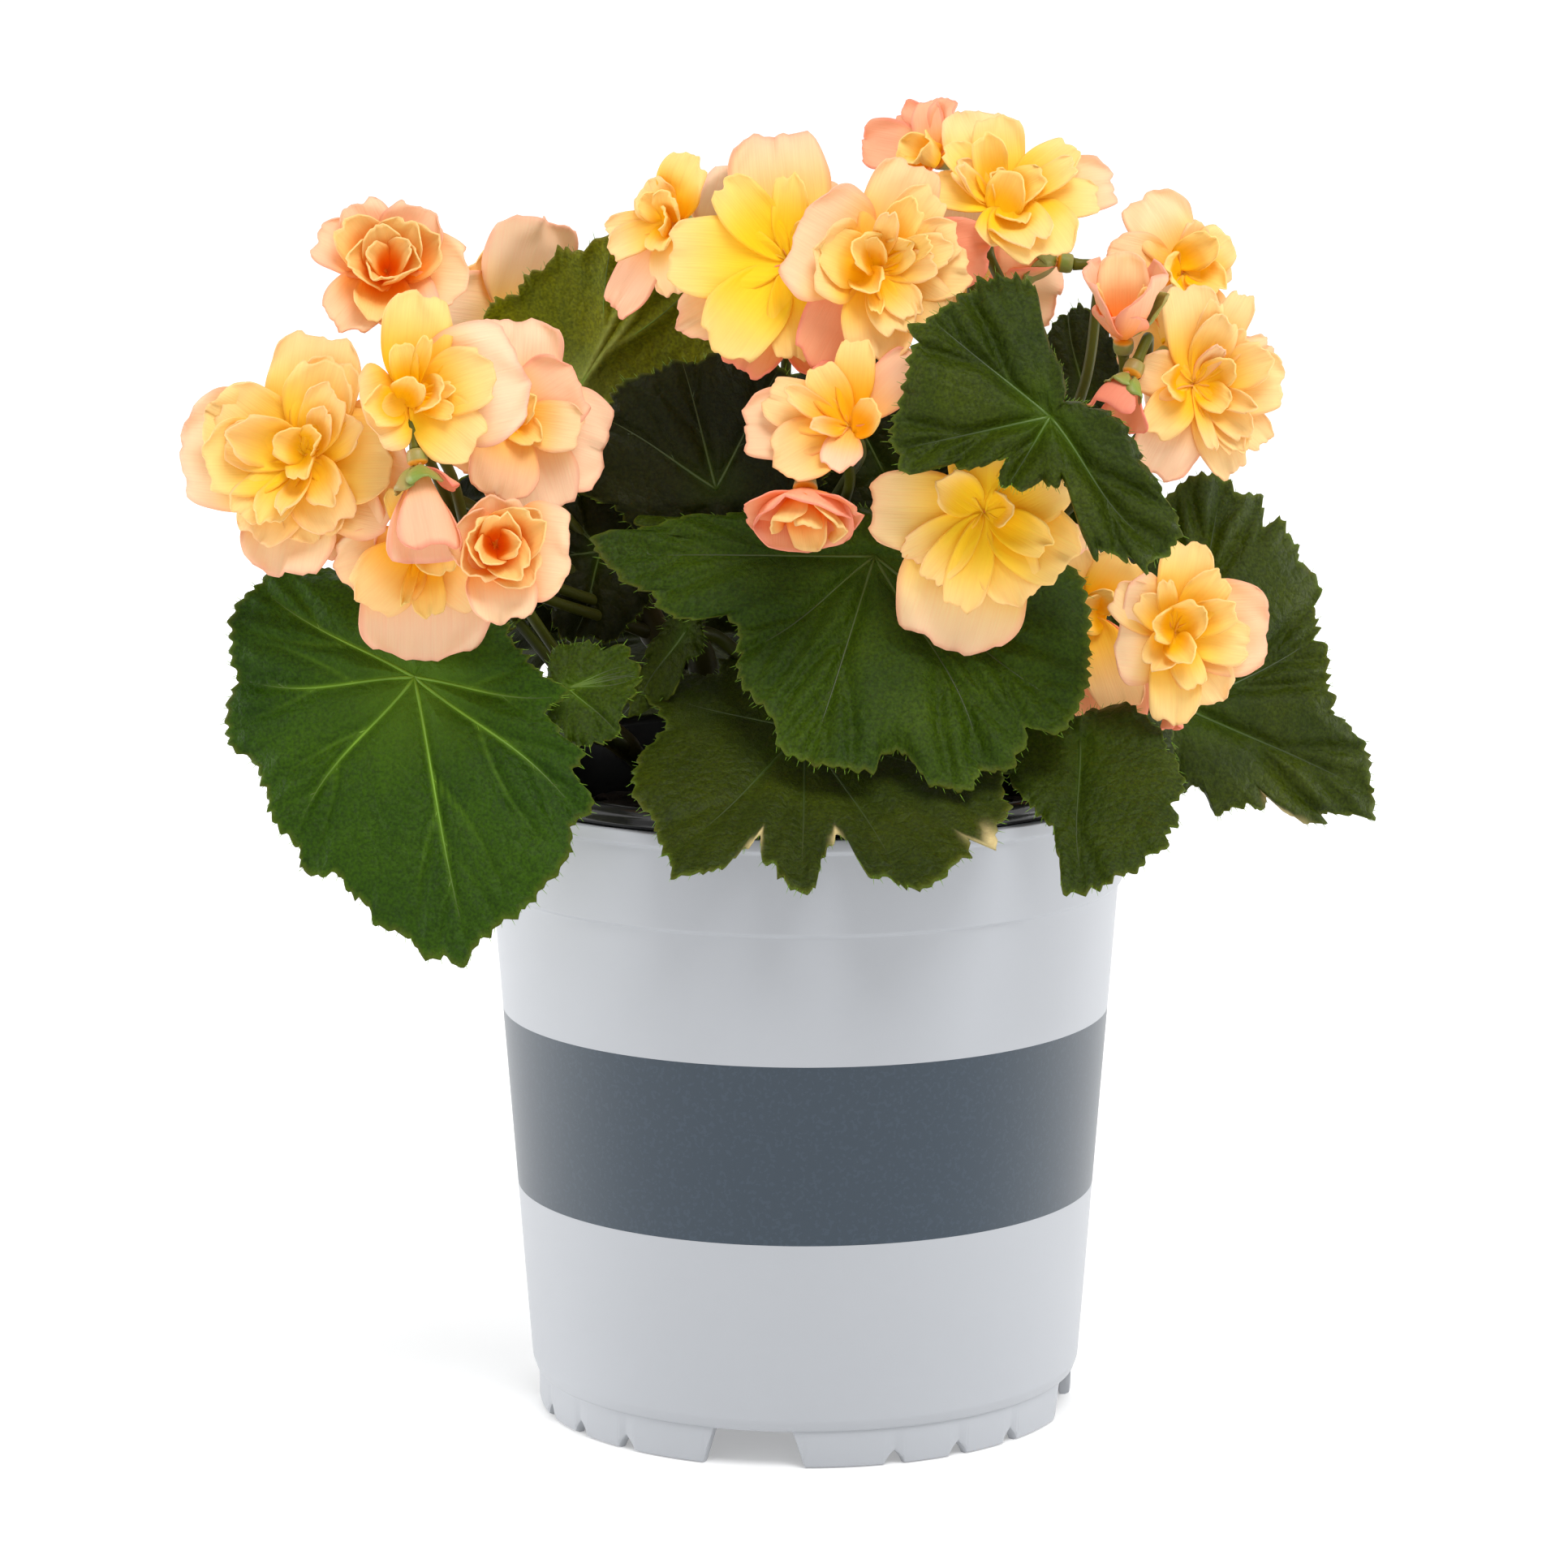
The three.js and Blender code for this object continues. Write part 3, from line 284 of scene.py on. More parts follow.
def mark(tree, name):
    """One of the marks that the points keep."""
    return node(tree, "ShaderNodeAttribute", attribute_name=name).outputs["Fac"]


def position(tree):
    """The place on the object, in metres."""
    return tree.nodes.new("ShaderNodeTexCoord").outputs["Object"]


def smooth_step(tree, value, low, high):
    """0 at low, 1 at high, and a soft step between."""
    made = node(tree, "ShaderNodeMapRange", Value=value)
    made.inputs["From Min"].default_value, made.inputs["From Max"].default_value = low, high
    made.interpolation_type = "SMOOTHSTEP"
    return made.outputs[0]


print("a middle grey is", round(screen(128, 128, 128)[0], 3), "on the renderer's scale")

# %% [markdown]
# ## Two shared effects
# Two effects are needed by more than one finish, so each is a node group, made once and used with other
# values each time. The first makes a colour uneven, as living tissue and moulded plastic are, by blending in
# another colour in soft clouds. The second gives a fine grain to bump with.

# %% Uneven colour and fine grain
CLOUD_LOW, CLOUD_HIGH = 0.35, 0.65


def new_group(name, sockets_in, sockets_out):
    """An empty node group with its sockets, and its input and output nodes."""
    group = bpy.data.node_groups.new(name, "ShaderNodeTree")
    for label, kind, value in sockets_in:
        socket = group.interface.new_socket(label, in_out="INPUT", socket_type=kind)
        if value is not None:
            socket.default_value = value
    for label, kind in sockets_out:
        group.interface.new_socket(label, in_out="OUTPUT", socket_type=kind)
    return group, group.nodes.new("NodeGroupInput"), group.nodes.new("NodeGroupOutput")


uneven, uneven_in, uneven_out = new_group(
    "uneven colour",
    [("Colour", "NodeSocketColor", (1, 1, 1, 1)), ("Other", "NodeSocketColor", (0, 0, 0, 1)),
     ("Scale", "NodeSocketFloat", 40.0), ("Amount", "NodeSocketFloat", 0.5)],
    [("Colour", "NodeSocketColor")])
cloud = node(uneven, "ShaderNodeTexNoise", Vector=position(uneven), Scale=uneven_in.outputs["Scale"],
             Detail=5.0)
spread = node(uneven, "ShaderNodeMapRange", Value=cloud.outputs["Fac"])
spread.inputs["From Min"].default_value = CLOUD_LOW
spread.inputs["From Max"].default_value = CLOUD_HIGH
share_of_other = maths(uneven, "MULTIPLY", spread.outputs[0], uneven_in.outputs["Amount"])
clouded = blend(uneven, share_of_other, uneven_in.outputs["Colour"], uneven_in.outputs["Other"])
uneven.links.new(clouded, uneven_out.inputs[0])

grain, grain_in, grain_out = new_group(
    "fine grain", [("Scale", "NodeSocketFloat", 1500.0), ("Sharpness", "NodeSocketFloat", 0.6)],
    [("Height", "NodeSocketFloat")])
fine = node(grain, "ShaderNodeTexNoise", Vector=position(grain), Scale=grain_in.outputs["Scale"], Detail=3.0,
            Roughness=grain_in.outputs["Sharpness"])
grain.links.new(fine.outputs["Fac"], grain_out.inputs[0])
for group in (uneven, grain):
    print("node group", group.name, "has", len(group.nodes), "nodes")

# %% [markdown]
# ## A finish
# Each finish is one material with one Principled shader. Values that are the same all over are set on the
# shader's own sockets, and only what changes over the surface comes through nodes. Petals and blades are so
# thin that light comes through them, so their shader is mixed with a Translucent one.

# %% Material helpers
def use_group(tree, group, **inputs):
    """Places a node group in a tree with its own values, and gives its output."""
    made = tree.nodes.new("ShaderNodeGroup")
    made.node_tree = group
    for name, value in inputs.items():
        if isinstance(value, bpy.types.NodeSocket):
            tree.links.new(value, made.inputs[name])
        else:
            made.inputs[name].default_value = value
    return made.outputs[0]


def finish(name, roughness, **constants):
    """A material with one Principled shader, and its tree and shader."""
    material = bpy.data.materials.new(name)
    material.use_nodes = True
    tree = material.node_tree
    shader = tree.nodes["Principled BSDF"]
    shader.inputs["Roughness"].default_value = roughness
    for key, value in constants.items():
        shader.inputs[key.replace("_", " ")].default_value = value
    return material, tree, shader


def bump(tree, shader, height, strength, distance):
    """Makes the shader's surface look raised by a height."""
    made = node(tree, "ShaderNodeBump", Height=height, Strength=strength, Distance=distance)
    tree.links.new(made.outputs["Normal"], shader.inputs["Normal"])


def let_light_through(tree, shader, colour, share):
    """Mixes in the light that comes through a thin petal or blade from behind."""
    through = node(tree, "ShaderNodeBsdfTranslucent", Color=colour)
    both = node(tree, "ShaderNodeMixShader", in0=share, in1=shader.outputs[0], in2=through.outputs[0])
    tree.links.new(both.outputs[0], tree.nodes["Material Output"].inputs["Surface"])


print("materials that came with the solids:", len(bpy.data.materials))

# %% [markdown]
# ## Camera
# The camera stands 1.5 m in front of the plant and looks down at it by ten degrees. A long lens keeps the
# plant's proportions calm, as in a product picture. The pot's axis lies a little beside the picture's middle,
# so the lens is shifted, which moves the picture but keeps its perspective.

# %% Camera
LENS, SENSOR = 141.6, 36.0
CAMERA_SPOT, LOOKS_DOWN = (0, -1.5405, 0.4344), 10.10
PICTURE_WIDTH, AXIS_IN_PICTURE = 1932, 992.2
camera_data = bpy.data.cameras.new("camera")
camera_data.lens, camera_data.sensor_width = LENS, SENSOR
camera_data.shift_x = (PICTURE_WIDTH / 2 - AXIS_IN_PICTURE) / PICTURE_WIDTH
camera = bpy.data.objects.new("camera", camera_data)
camera.location = CAMERA_SPOT
camera.rotation_euler = (math.radians(90 - LOOKS_DOWN), 0, 0)
bpy.context.scene.collection.objects.link(camera)
bpy.context.scene.camera = camera
bpy.context.scene.view_settings.view_transform = "Standard"
print("camera distance:", round(camera.location.length, 2), "m, shift:", round(camera_data.shift_x, 4))

# %% [markdown]
# ## Light
# The picture has the even light of a white studio. A large soft light from the front and above shapes the
# blooms, a weak one behind lifts the rim, and two at the sides draw the pale edges of the pot. The room
# itself is bright as well. It lights the plant less than it shows in the picture, so shadows keep some depth.

# %% Lights and the bright room
LIGHTS = (  # name, place, size in metres, power in watts
    ("key", (0.4, -1.1, 1.9), 1.1, 32), ("back", (-0.3, 1.3, 1.3), 1.0, 6),
    ("left side", (-1.3, 0.25, 0.35), 0.9, 12), ("right side", (1.3, 0.25, 0.35), 0.9, 9))
PLANT_MIDDLE = Vector((0, 0, 0.2))
SKY, SKY_SEEN = 0.66, 1.0


def soft_light(name, spot, size, power):
    """A round soft light that points at the middle of the plant."""
    data = bpy.data.lights.new(name, "AREA")
    data.shape, data.size, data.energy = "DISK", size, power
    light = bpy.data.objects.new(name, data)
    light.location = spot
    light.rotation_euler = (PLANT_MIDDLE - Vector(spot)).to_track_quat("-Z", "Y").to_euler()
    bpy.context.scene.collection.objects.link(light)


for light_values in LIGHTS:
    soft_light(*light_values)
world = bpy.data.worlds.new("studio")
world.use_nodes = True
bpy.context.scene.world = world
sky = world.node_tree.nodes["Background"]
sky.inputs["Color"].default_value = (1, 1, 1, 1)
seen = world.node_tree.nodes.new("ShaderNodeLightPath").outputs["Is Camera Ray"]
world.node_tree.links.new(
    maths(world.node_tree, "MULTIPLY_ADD", seen, SKY_SEEN - SKY, SKY), sky.inputs["Strength"])
print("lights:", len(LIGHTS), "with", sum(light_values[3] for light_values in LIGHTS), "W in all")

# %% [markdown]
# ## Floor
# The floor is a plain pale sheet, wide enough to reach the horizon. A white studio floor runs into the white
# wall without a line, so it glows a little, and more so far away. Near the pot it stays plain enough to hold
# a soft shadow.

# %% Floor
FLOOR_HALF = 60
GLOW_NEAR, GLOW_FAR = 0.28, 0.58
GLOW_STARTS, GLOW_FULL = 0.25, 1.6
floor_material, tree, shader = finish("pale floor", 0.7, Emission_Color=(1, 1, 1, 1))
far = node(tree, "ShaderNodeVectorMath", operation="LENGTH", in0=position(tree)).outputs["Value"]
farness = smooth_step(tree, far, GLOW_STARTS, GLOW_FULL)
tree.links.new(
    maths(tree, "MULTIPLY_ADD", farness, GLOW_FAR - GLOW_NEAR, GLOW_NEAR), shader.inputs["Emission Strength"])
paper = use_group(tree, uneven, Colour=(0.75, 0.75, 0.75, 1), Other=(0.73, 0.73, 0.73, 1), Scale=3.0,
                  Amount=0.5)
tree.links.new(paper, shader.inputs["Base Color"])
bm = bmesh.new()
bmesh.ops.create_grid(bm, x_segments=1, y_segments=1, size=FLOOR_HALF)
floor_mesh = bpy.data.meshes.new("floor")
bm.to_mesh(floor_mesh)
bm.free()
floor_mesh.materials.append(floor_material)
floor = bpy.data.objects.new("floor", floor_mesh)
bpy.context.scene.collection.objects.link(floor)
print("floor:", 2 * FLOOR_HALF, "m across")

# %% [markdown]
# ## Cover pot
# The cover pot is injection-moulded: a tapered wall, a step line under a plain collar, and a rolled lip. It
# stands on a foot ring with four gaps, and with three small notches between two gaps. The sizes come first,
# with the wall's radius at any height and the height of the foot's lower edge at any turn.

# %% Sizes of the cover pot
COLLAR_HEIGHT, COLLAR_RADIUS, COLLAR_STEP = 136.5, 79.6, 1.0
FOOT_HEIGHT, FOOT_RADIUS, FOOT_THICKNESS, FOOT_BEVEL = 9.5, 68.6, 3.0, 1.6
WALL_FOOT_RADIUS, CORNER = 69.9, 3.0
COVER_WALL, COVER_FLOOR = 1.3, 1.8
LIP_RADIUS, LIP_BOTTOM, LIP_TOP = 83.6, 157.9, 161.1
BAND_BOTTOM, BAND_TOP = 58.1, 103.7
FOOT_GAP_TURN, FOOT_GAP_HALF, FOOT_GAP_SLANT = -11, 13, 3
NOTCH_TURNS, NOTCH_HALF, NOTCH_HEIGHT, NOTCH_ROUNDNESS = (-15, 0, 15), 2.6, 3.6, 0.6
FLOOR_TOP = FOOT_HEIGHT + COVER_FLOOR


def cover_radius(z):
    """The wall's outer radius at a height."""
    rise = z - FOOT_HEIGHT
    return WALL_FOOT_RADIUS + rise * (COLLAR_RADIUS - WALL_FOOT_RADIUS) / (COLLAR_HEIGHT - FOOT_HEIGHT)


def along_ring(turn):
    """The way along the foot ring between the front and a turn, in mm."""
    return abs(math.radians((turn + 180) % 360 - 180)) * FOOT_RADIUS


def foot_edge(turn):
    """How high the foot's lower edge stands at a turn from the front, in degrees."""
    lift = 0.0
    for quarter in range(4):
        from_gap = turn - FOOT_GAP_TURN - 90 * quarter
        inside_gap = (FOOT_GAP_HALF - along_ring(from_gap)) / FOOT_GAP_SLANT
        lift = max(lift, FOOT_HEIGHT * min(max(inside_gap, 0), 1))
        for step in NOTCH_TURNS:
            near = along_ring(from_gap - 45 - step)
            if near < NOTCH_HALF:
                lift = max(lift, NOTCH_HEIGHT * (1 - near / NOTCH_HALF) ** NOTCH_ROUNDNESS)
    return lift


print("cover pot:", LIP_TOP, "mm high,", 2 * LIP_RADIUS, "mm wide, with a band of",
      round(BAND_TOP - BAND_BOTTOM, 1), "mm")

# %% [markdown]
# ## Sections that are spun
# Both pots are round, so half of a section is enough: the spin operator turns it round the axis. Moulded
# plastic has no sharp corners, because the mould couldn't be filled there. A bevel of the whole mesh would
# also round the notches, so each corner of the section is turned into a small curve before it is spun.

# %% Rounded and spun sections
LONGEST_CUT, SHORTEST_CUT = 0.45, 0.02


def rounded(profile, softness, segments=3):
    """The same section with each corner turned into a small curve."""
    out = []
    n = len(profile)
    for i, (x, z) in enumerate(profile):
        before, here, after = (np.array(profile[k % n], float) for k in (i - 1, i, i + 1))
        a, b = before - here, after - here
        cut = min(softness, LONGEST_CUT * np.linalg.norm(a), LONGEST_CUT * np.linalg.norm(b))
        if x == 0 or cut < SHORTEST_CUT:
            out.append((x, z))
            continue
        a, b = here + a / np.linalg.norm(a) * cut, here + b / np.linalg.norm(b) * cut
        for k in range(segments + 1):
            s = k / segments
            out.append(tuple((1 - s) ** 2 * a + 2 * s * (1 - s) * here + s * s * b))
    return out


def spun(bm, profile, steps):
    """A closed section of (radius, height) points, spun round the axis."""
    verts = [bm.verts.new((r * MM, 0, z * MM)) for r, z in profile]
    edges = [bm.edges.new(pair) for pair in zip(verts, verts[1:] + verts[:1])]
    bmesh.ops.spin(bm, geom=verts + edges, cent=(0, 0, 0), axis=(0, 0, 1), angle=2 * math.pi, steps=steps,
                   use_merge=True, use_duplicate=False)
    bmesh.ops.remove_doubles(bm, verts=bm.verts[:], dist=MERGE_DISTANCE)
    bmesh.ops.recalc_face_normals(bm, faces=bm.faces[:])


print("a square with round corners has", len(rounded([(1, 0), (9, 0), (9, 8), (1, 8)], 0.5)), "points")

# %% [markdown]
# ## Body and foot
# The body is spun from its section. The foot ring is spun with many more steps, because its lower edge is
# then lifted where a gap or a notch is, and a notch is only five millimetres wide. Cutting the gaps out with
# booleans would also do, but lifting points keeps the ring one clean band. Edges sharper than thirty degrees
# stay crisp, and all others are shaded smooth.

# %% Body and foot of the cover pot
COVER_SOFTNESS, COVER_STEPS, FOOT_STEPS = 0.55, 160, 1080
FOOT_OVERLAP, CRISP_ANGLE = 0.3, 30
corner_radius = cover_radius(FOOT_HEIGHT + CORNER)
cover_section = [
    (0, FOOT_HEIGHT), (FOOT_RADIUS - FOOT_THICKNESS, FOOT_HEIGHT),
    (corner_radius - 1.0, FOOT_HEIGHT + 0.2), (corner_radius, FOOT_HEIGHT + CORNER),
    (COLLAR_RADIUS, COLLAR_HEIGHT), (COLLAR_RADIUS + COLLAR_STEP, COLLAR_HEIGHT + 0.5),
    (cover_radius(LIP_BOTTOM) + COLLAR_STEP, LIP_BOTTOM - 0.6), (LIP_RADIUS, LIP_BOTTOM),
    (LIP_RADIUS, LIP_TOP), (cover_radius(LIP_TOP) - COVER_WALL, LIP_TOP),
    (cover_radius(FLOOR_TOP) - COVER_WALL, FLOOR_TOP), (0, FLOOR_TOP)]
bm = bmesh.new()
spun(bm, rounded(cover_section, COVER_SOFTNESS), COVER_STEPS)
print("points of the body:", len(bm.verts))
foot_section = [
    (FOOT_RADIUS - FOOT_THICKNESS, FOOT_HEIGHT + FOOT_OVERLAP), (FOOT_RADIUS - FOOT_THICKNESS, 0),
    (FOOT_RADIUS - FOOT_BEVEL, 0), (FOOT_RADIUS - FOOT_BEVEL / 3, 0.3 * FOOT_BEVEL),
    (FOOT_RADIUS - 0.2, FOOT_BEVEL), (FOOT_RADIUS, FOOT_HEIGHT + FOOT_OVERLAP)]
foot_bm = bmesh.new()
spun(foot_bm, foot_section, FOOT_STEPS)
for v in foot_bm.verts:
    if v.co.z < FOOT_HEIGHT * MM:
        turn = math.degrees(math.atan2(v.co.x, -v.co.y))
        v.co.z += foot_edge(turn) * (1 - v.co.z / (FOOT_HEIGHT * MM)) * MM
bmesh.ops.remove_doubles(foot_bm, verts=foot_bm.verts[:], dist=2e-5)
foot_mesh = bpy.data.meshes.new("foot")
foot_bm.to_mesh(foot_mesh)
foot_bm.free()
bm.from_mesh(foot_mesh)
bpy.data.meshes.remove(foot_mesh)
for face in bm.faces:
    face.smooth = True
for edge in bm.edges:
    edge.smooth = len(edge.link_faces) == 2 and edge.calc_face_angle(0) < math.radians(CRISP_ANGLE)
print("points with the foot:", len(bm.verts))

# %% [markdown]
# ## Grey plastic with a printed band
# The pot is grey satin plastic. Its slate-grey band is ink with no thickness, so it is a colour between two
# heights, and only on the outer wall. Both heights are read from the point's place on the object. Ink has a
# faint speckle, and is a little glossier than the bare plastic, so a coat comes with it.

# %% Grey plastic and its band
SPECKLE_FROM, SPECKLE_SHARE = 0.58, 0.35
PLASTIC_COAT, MORE_ON_INK = 0.2, 0.45
grey_plastic, tree, shader = finish("grey satin plastic", 0.44, IOR=1.46, Specular_IOR_Level=0.45,
                                    Coat_Roughness=0.4)
height = node(tree, "ShaderNodeSeparateXYZ", Vector=position(tree)).outputs["Z"]
in_band = maths(tree, "MULTIPLY", maths(tree, "GREATER_THAN", height, BAND_BOTTOM * MM),
                maths(tree, "LESS_THAN", height, BAND_TOP * MM))
flattened = node(tree, "ShaderNodeVectorMath", operation="MULTIPLY", in0=position(tree), in1=(1, 1, 0))
from_axis = node(tree, "ShaderNodeVectorMath", operation="LENGTH", in0=flattened.outputs[0])
on_wall = maths(
    tree, "GREATER_THAN", from_axis.outputs["Value"], (cover_radius(BAND_BOTTOM) - 0.5) * MM)
moulded = use_group(tree, uneven, Colour=screen(168, 171, 176), Other=screen(163, 166, 171), Scale=12.0,
                    Amount=0.6)
speck = node(tree, "ShaderNodeTexNoise", Vector=position(tree), Scale=900.0, Detail=2.0).outputs["Fac"]
specks = maths(tree, "MULTIPLY", maths(tree, "GREATER_THAN", speck, SPECKLE_FROM), SPECKLE_SHARE)
ink = blend(tree, specks, screen(8, 37, 54), screen(38, 58, 75))
printed = maths(tree, "MULTIPLY", in_band, on_wall)
tree.links.new(blend(tree, printed, moulded, ink), shader.inputs["Base Color"])
tree.links.new(
    maths(tree, "MULTIPLY_ADD", printed, MORE_ON_INK, PLASTIC_COAT), shader.inputs["Coat Weight"])
bump(tree, shader, use_group(tree, grain, Scale=2600.0, Sharpness=0.6), 0.12, 0.0002)
cover_pot = piece("cover_pot", bm, [grey_plastic])
print("cover pot:", len(cover_pot.data.polygons), "faces")

# %% [markdown]
# ## Growing pot
# The growing pot is thin black plastic. Only its rim, with two round ridges, is seen above the grey lip, and
# it is shiny, so its ridges catch the light as two thin lines. It is spun from its section like the other.

# %% Growing pot
GAP = 0.35
POT_WALL, POT_PLAY = 1.1, 1.0
RIM_RADIUS, RIM_TOP = 82.3, 166.5
POT_BOTTOM = FLOOR_TOP + GAP
POT_FLOOR_TOP = POT_BOTTOM + POT_WALL
RIM_BOTTOM = LIP_TOP + GAP
POT_SOFTNESS, POT_STEPS = 0.6, 128


def pot_radius(z):
    """The growing pot's outer radius at a height."""
    return cover_radius(z) - COVER_WALL - POT_PLAY


inner_rim = pot_radius(LIP_TOP) - POT_WALL
pot_section = [
    (0, POT_BOTTOM), (pot_radius(POT_BOTTOM), POT_BOTTOM), (pot_radius(LIP_TOP), RIM_BOTTOM),
    (RIM_RADIUS - 0.4, RIM_BOTTOM), (RIM_RADIUS + 0.3, RIM_BOTTOM + 1.2),
    (RIM_RADIUS - 0.5, RIM_BOTTOM + 2.4), (RIM_RADIUS, RIM_BOTTOM + 3.7),
    (RIM_RADIUS - 1.2, RIM_TOP), (inner_rim + 0.6, RIM_TOP),
    (inner_rim, RIM_TOP - 1.6), (pot_radius(POT_FLOOR_TOP) - POT_WALL, POT_FLOOR_TOP), (0, POT_FLOOR_TOP)]
bm = bmesh.new()
spun(bm, rounded(pot_section, POT_SOFTNESS, segments=4), POT_STEPS)
for face in bm.faces:
    face.smooth = True
black_plastic, tree, shader = finish("black shiny plastic", 0.22)
tree.links.new(
    use_group(tree, uneven, Colour=screen(16, 16, 17), Other=screen(30, 29, 28), Scale=60.0, Amount=0.5),
    shader.inputs["Base Color"])
bump(tree, shader, use_group(tree, grain, Scale=700.0, Sharpness=0.5), 0.1, 0.0002)
growing_pot = piece("growing_pot", bm, [black_plastic])
print("growing pot:", len(growing_pot.data.polygons), "faces, rim", 2 * RIM_RADIUS, "mm across")

# %% [markdown]
# ## Soil
# Moist peat mix fills the growing pot to about 14 mm under its rim. Its top is a low mound with lumps. A
# displaced disc would do for the top alone, but the soil is a closed body, so the grid runs on down the
# pot's wall and in under the floor, where its last row meets in one point.

# %% Soil surface
SOIL_TOP, SOIL_MOUND, SOIL_RADIUS = 147.0, 5.0, 77.0
SOIL_COLUMNS, SOIL_ROWS = 96, 40
TOP_SHARE, WALL_SHARE, LAST_ROW = 0.8, 0.2, 0.99
soil_wall = pot_radius(SOIL_TOP) - POT_WALL - GAP
soil_foot = pot_radius(POT_FLOOR_TOP) - POT_WALL - GAP


def soil_height(x, y):
    """The height of the mound and its lumps at a place."""
    far = np.hypot(x, y) / SOIL_RADIUS
    lumps = np.sin(x * 0.31 + 2) * np.cos(y * 0.27) + 0.5 * np.sin(x * 0.83 + y * 0.5) * np.cos(y * 0.91 - 1)
    return SOIL_TOP + SOIL_MOUND * (1 - far * far) + 1.0 * lumps


def soil_place(u, v):
    """From the middle of the top out to the wall, down it, and back to the middle of the floor."""
    turn, far = 2 * np.pi * u, np.minimum(v / TOP_SHARE, 1) * soil_wall
    x, y = far * np.cos(turn), far * np.sin(turn)
    down = np.clip((v - TOP_SHARE) / WALL_SHARE, 0, 1)
    z = soil_height(x, y) * (1 - down) + (POT_FLOOR_TOP + GAP) * down
    shrink = 1 - down * (1 - soil_foot / soil_wall)
    shrink = np.where(v > LAST_ROW, 0, shrink)
    return np.stack([x * shrink, y * shrink, z], 1), {}


bm = new_sheet_mesh()
sheet(bm, SOIL_COLUMNS, SOIL_ROWS, soil_place, merge=True)
bmesh.ops.recalc_face_normals(bm, faces=bm.faces[:])
print("soil height in the middle:", round(float(soil_height(0, 0)), 1), "mm")

# %% [markdown]
# ## Crumbs
# Peat is loose, with crumbs of one or two millimetres and a few light grains. Each crumb is a small ball of
# twenty faces, stretched and pushed about a little, so that no two are alike. They are strewn evenly, which
# takes the square root of a draw for the distance from the middle.

# %% Crumbs and the soil's finish
CRUMBS, CRUMB_SIZE, CRUMB_SPREAD = 260, 0.7, 1.6
LIGHT_FROM = 0.9
for i in range(CRUMBS):
    turn, far = 2 * math.pi * draw(i, 1), (soil_wall - 3) * math.sqrt(draw(i, 2))
    x, y = far * math.cos(turn), far * math.sin(turn)
    size = CRUMB_SIZE + CRUMB_SPREAD * draw(i, 3) ** 2
    where = Matrix.Translation(Vector((x, y, float(soil_height(x, y)) + 0.3 * size)) * MM)
    shape = Matrix.Diagonal((size * MM, size * MM * (0.6 + 0.8 * draw(i, 4)), size * MM * 0.7, 1))
    crumb = bmesh.ops.create_icosphere(bm, subdivisions=1, radius=1, matrix=where @ shape)
    for v in crumb["verts"]:
        v.co += Vector([(draw(i, 5 + k + 3 * v.index) - 0.5) * 0.3 * size * MM for k in range(3)])
        for face in v.link_faces:
            face.material_index = 1 if draw(i, 9) > LIGHT_FROM else 0
peat, tree, shader = finish("moist peat", 0.9)
tree.links.new(
    use_group(tree, uneven, Colour=screen(24, 18, 13), Other=screen(52, 38, 27), Scale=420.0, Amount=0.8),
    shader.inputs["Base Color"])
bump(tree, shader, use_group(tree, grain, Scale=900.0, Sharpness=0.8), 0.9, 0.001)
grit, tree, shader = finish("light grit", 0.8)
tree.links.new(
    use_group(tree, uneven, Colour=screen(150, 138, 120), Other=screen(104, 92, 78), Scale=500.0, Amount=0.8),
    shader.inputs["Base Color"])
soil = piece("soil", bm, [peat, grit])
print("soil:", len(soil.data.polygons), "faces,", CRUMBS, "crumbs")

# %% [markdown]
# ## Leaves
# A begonia leaf is a lopsided blade with lobes and a cut margin. Its main veins run from the hub, where the
# petiole joins, to each lobe, and the blade bulges between its veins like a quilt. Drawing each blade as a
# mesh by hand would be slow, so a leaf is a row of a table. Its outline is given by how far it reaches at
# some angles, with 0 to the right and 90 up. Slope, bend and wave shape it, and age and pale paint it. The
# age is partly painted shade: leaves that stand in shade get an older, darker green.

# %% Leaf outlines, read from the front
FRONT = (0, 10)
leaf_table = []


def add_leaf(name, hub, reach, slope, bend, wave, face=FRONT, grows_from=None, **more):
    """Notes a leaf. Its seed, which gives it its own draws, is its place in the table."""
    leaf_table.append({
        "name": name, "hub": hub, "reach": reach, "slope": slope, "bend": bend, "wave": wave, "face": face,
        "grows_from": grows_from, "seed": len(leaf_table) + 1, **more})


# Part of each age is painted shade: leaves that stand in shade, such as the back ones and the small ones
# inside, get a higher age for a darker green.
add_leaf("leaf_left_low", (-95, -60, 197), slope=(0.12, -0.3), bend=3, wave=1.5, age=0.05, pale=1.0,
         lobed=True, veins=[180, 150, -126, -78, -40, -7], reach=[
    (23, 25), (30, 26), (60, 22), (90, 7), (118, 24), (132, 36), (146, 45), (159, 48), (172, 46), (180, 44),
    (-170, 47), (-160, 48), (-152, 44), (-144, 45), (-132, 49), (-125, 49), (-119, 54), (-115, 53.5),
    (-111, 50.5), (-106, 54.5), (-101, 56), (-98, 61), (-92, 62), (-86, 68.5), (-83, 68), (-80, 71.5),
    (-75, 65.5), (-68, 63), (-54, 59.5), (-49, 58), (-43, 53), (-35, 54), (-30, 45), (-24, 46), (-21, 38),
    (-15, 33.5), (-5, 37.5), (1, 31.5), (7, 28)])
add_leaf("leaf_left_high", (-58.6, 12, 257), slope=(0.35, 0.45), bend=-2, wave=1.5, age=0.1, pale=1.0,
         quilt=2.2, turned=True, reach=[
    (5, 34), (15, 38), (26, 40), (49, 43), (68, 43), (80, 39), (90, 36), (104, 34), (117, 31), (130, 31),
    (140, 30), (155, 20), (190, 9), (240, 6), (300, 6), (345, 14)])
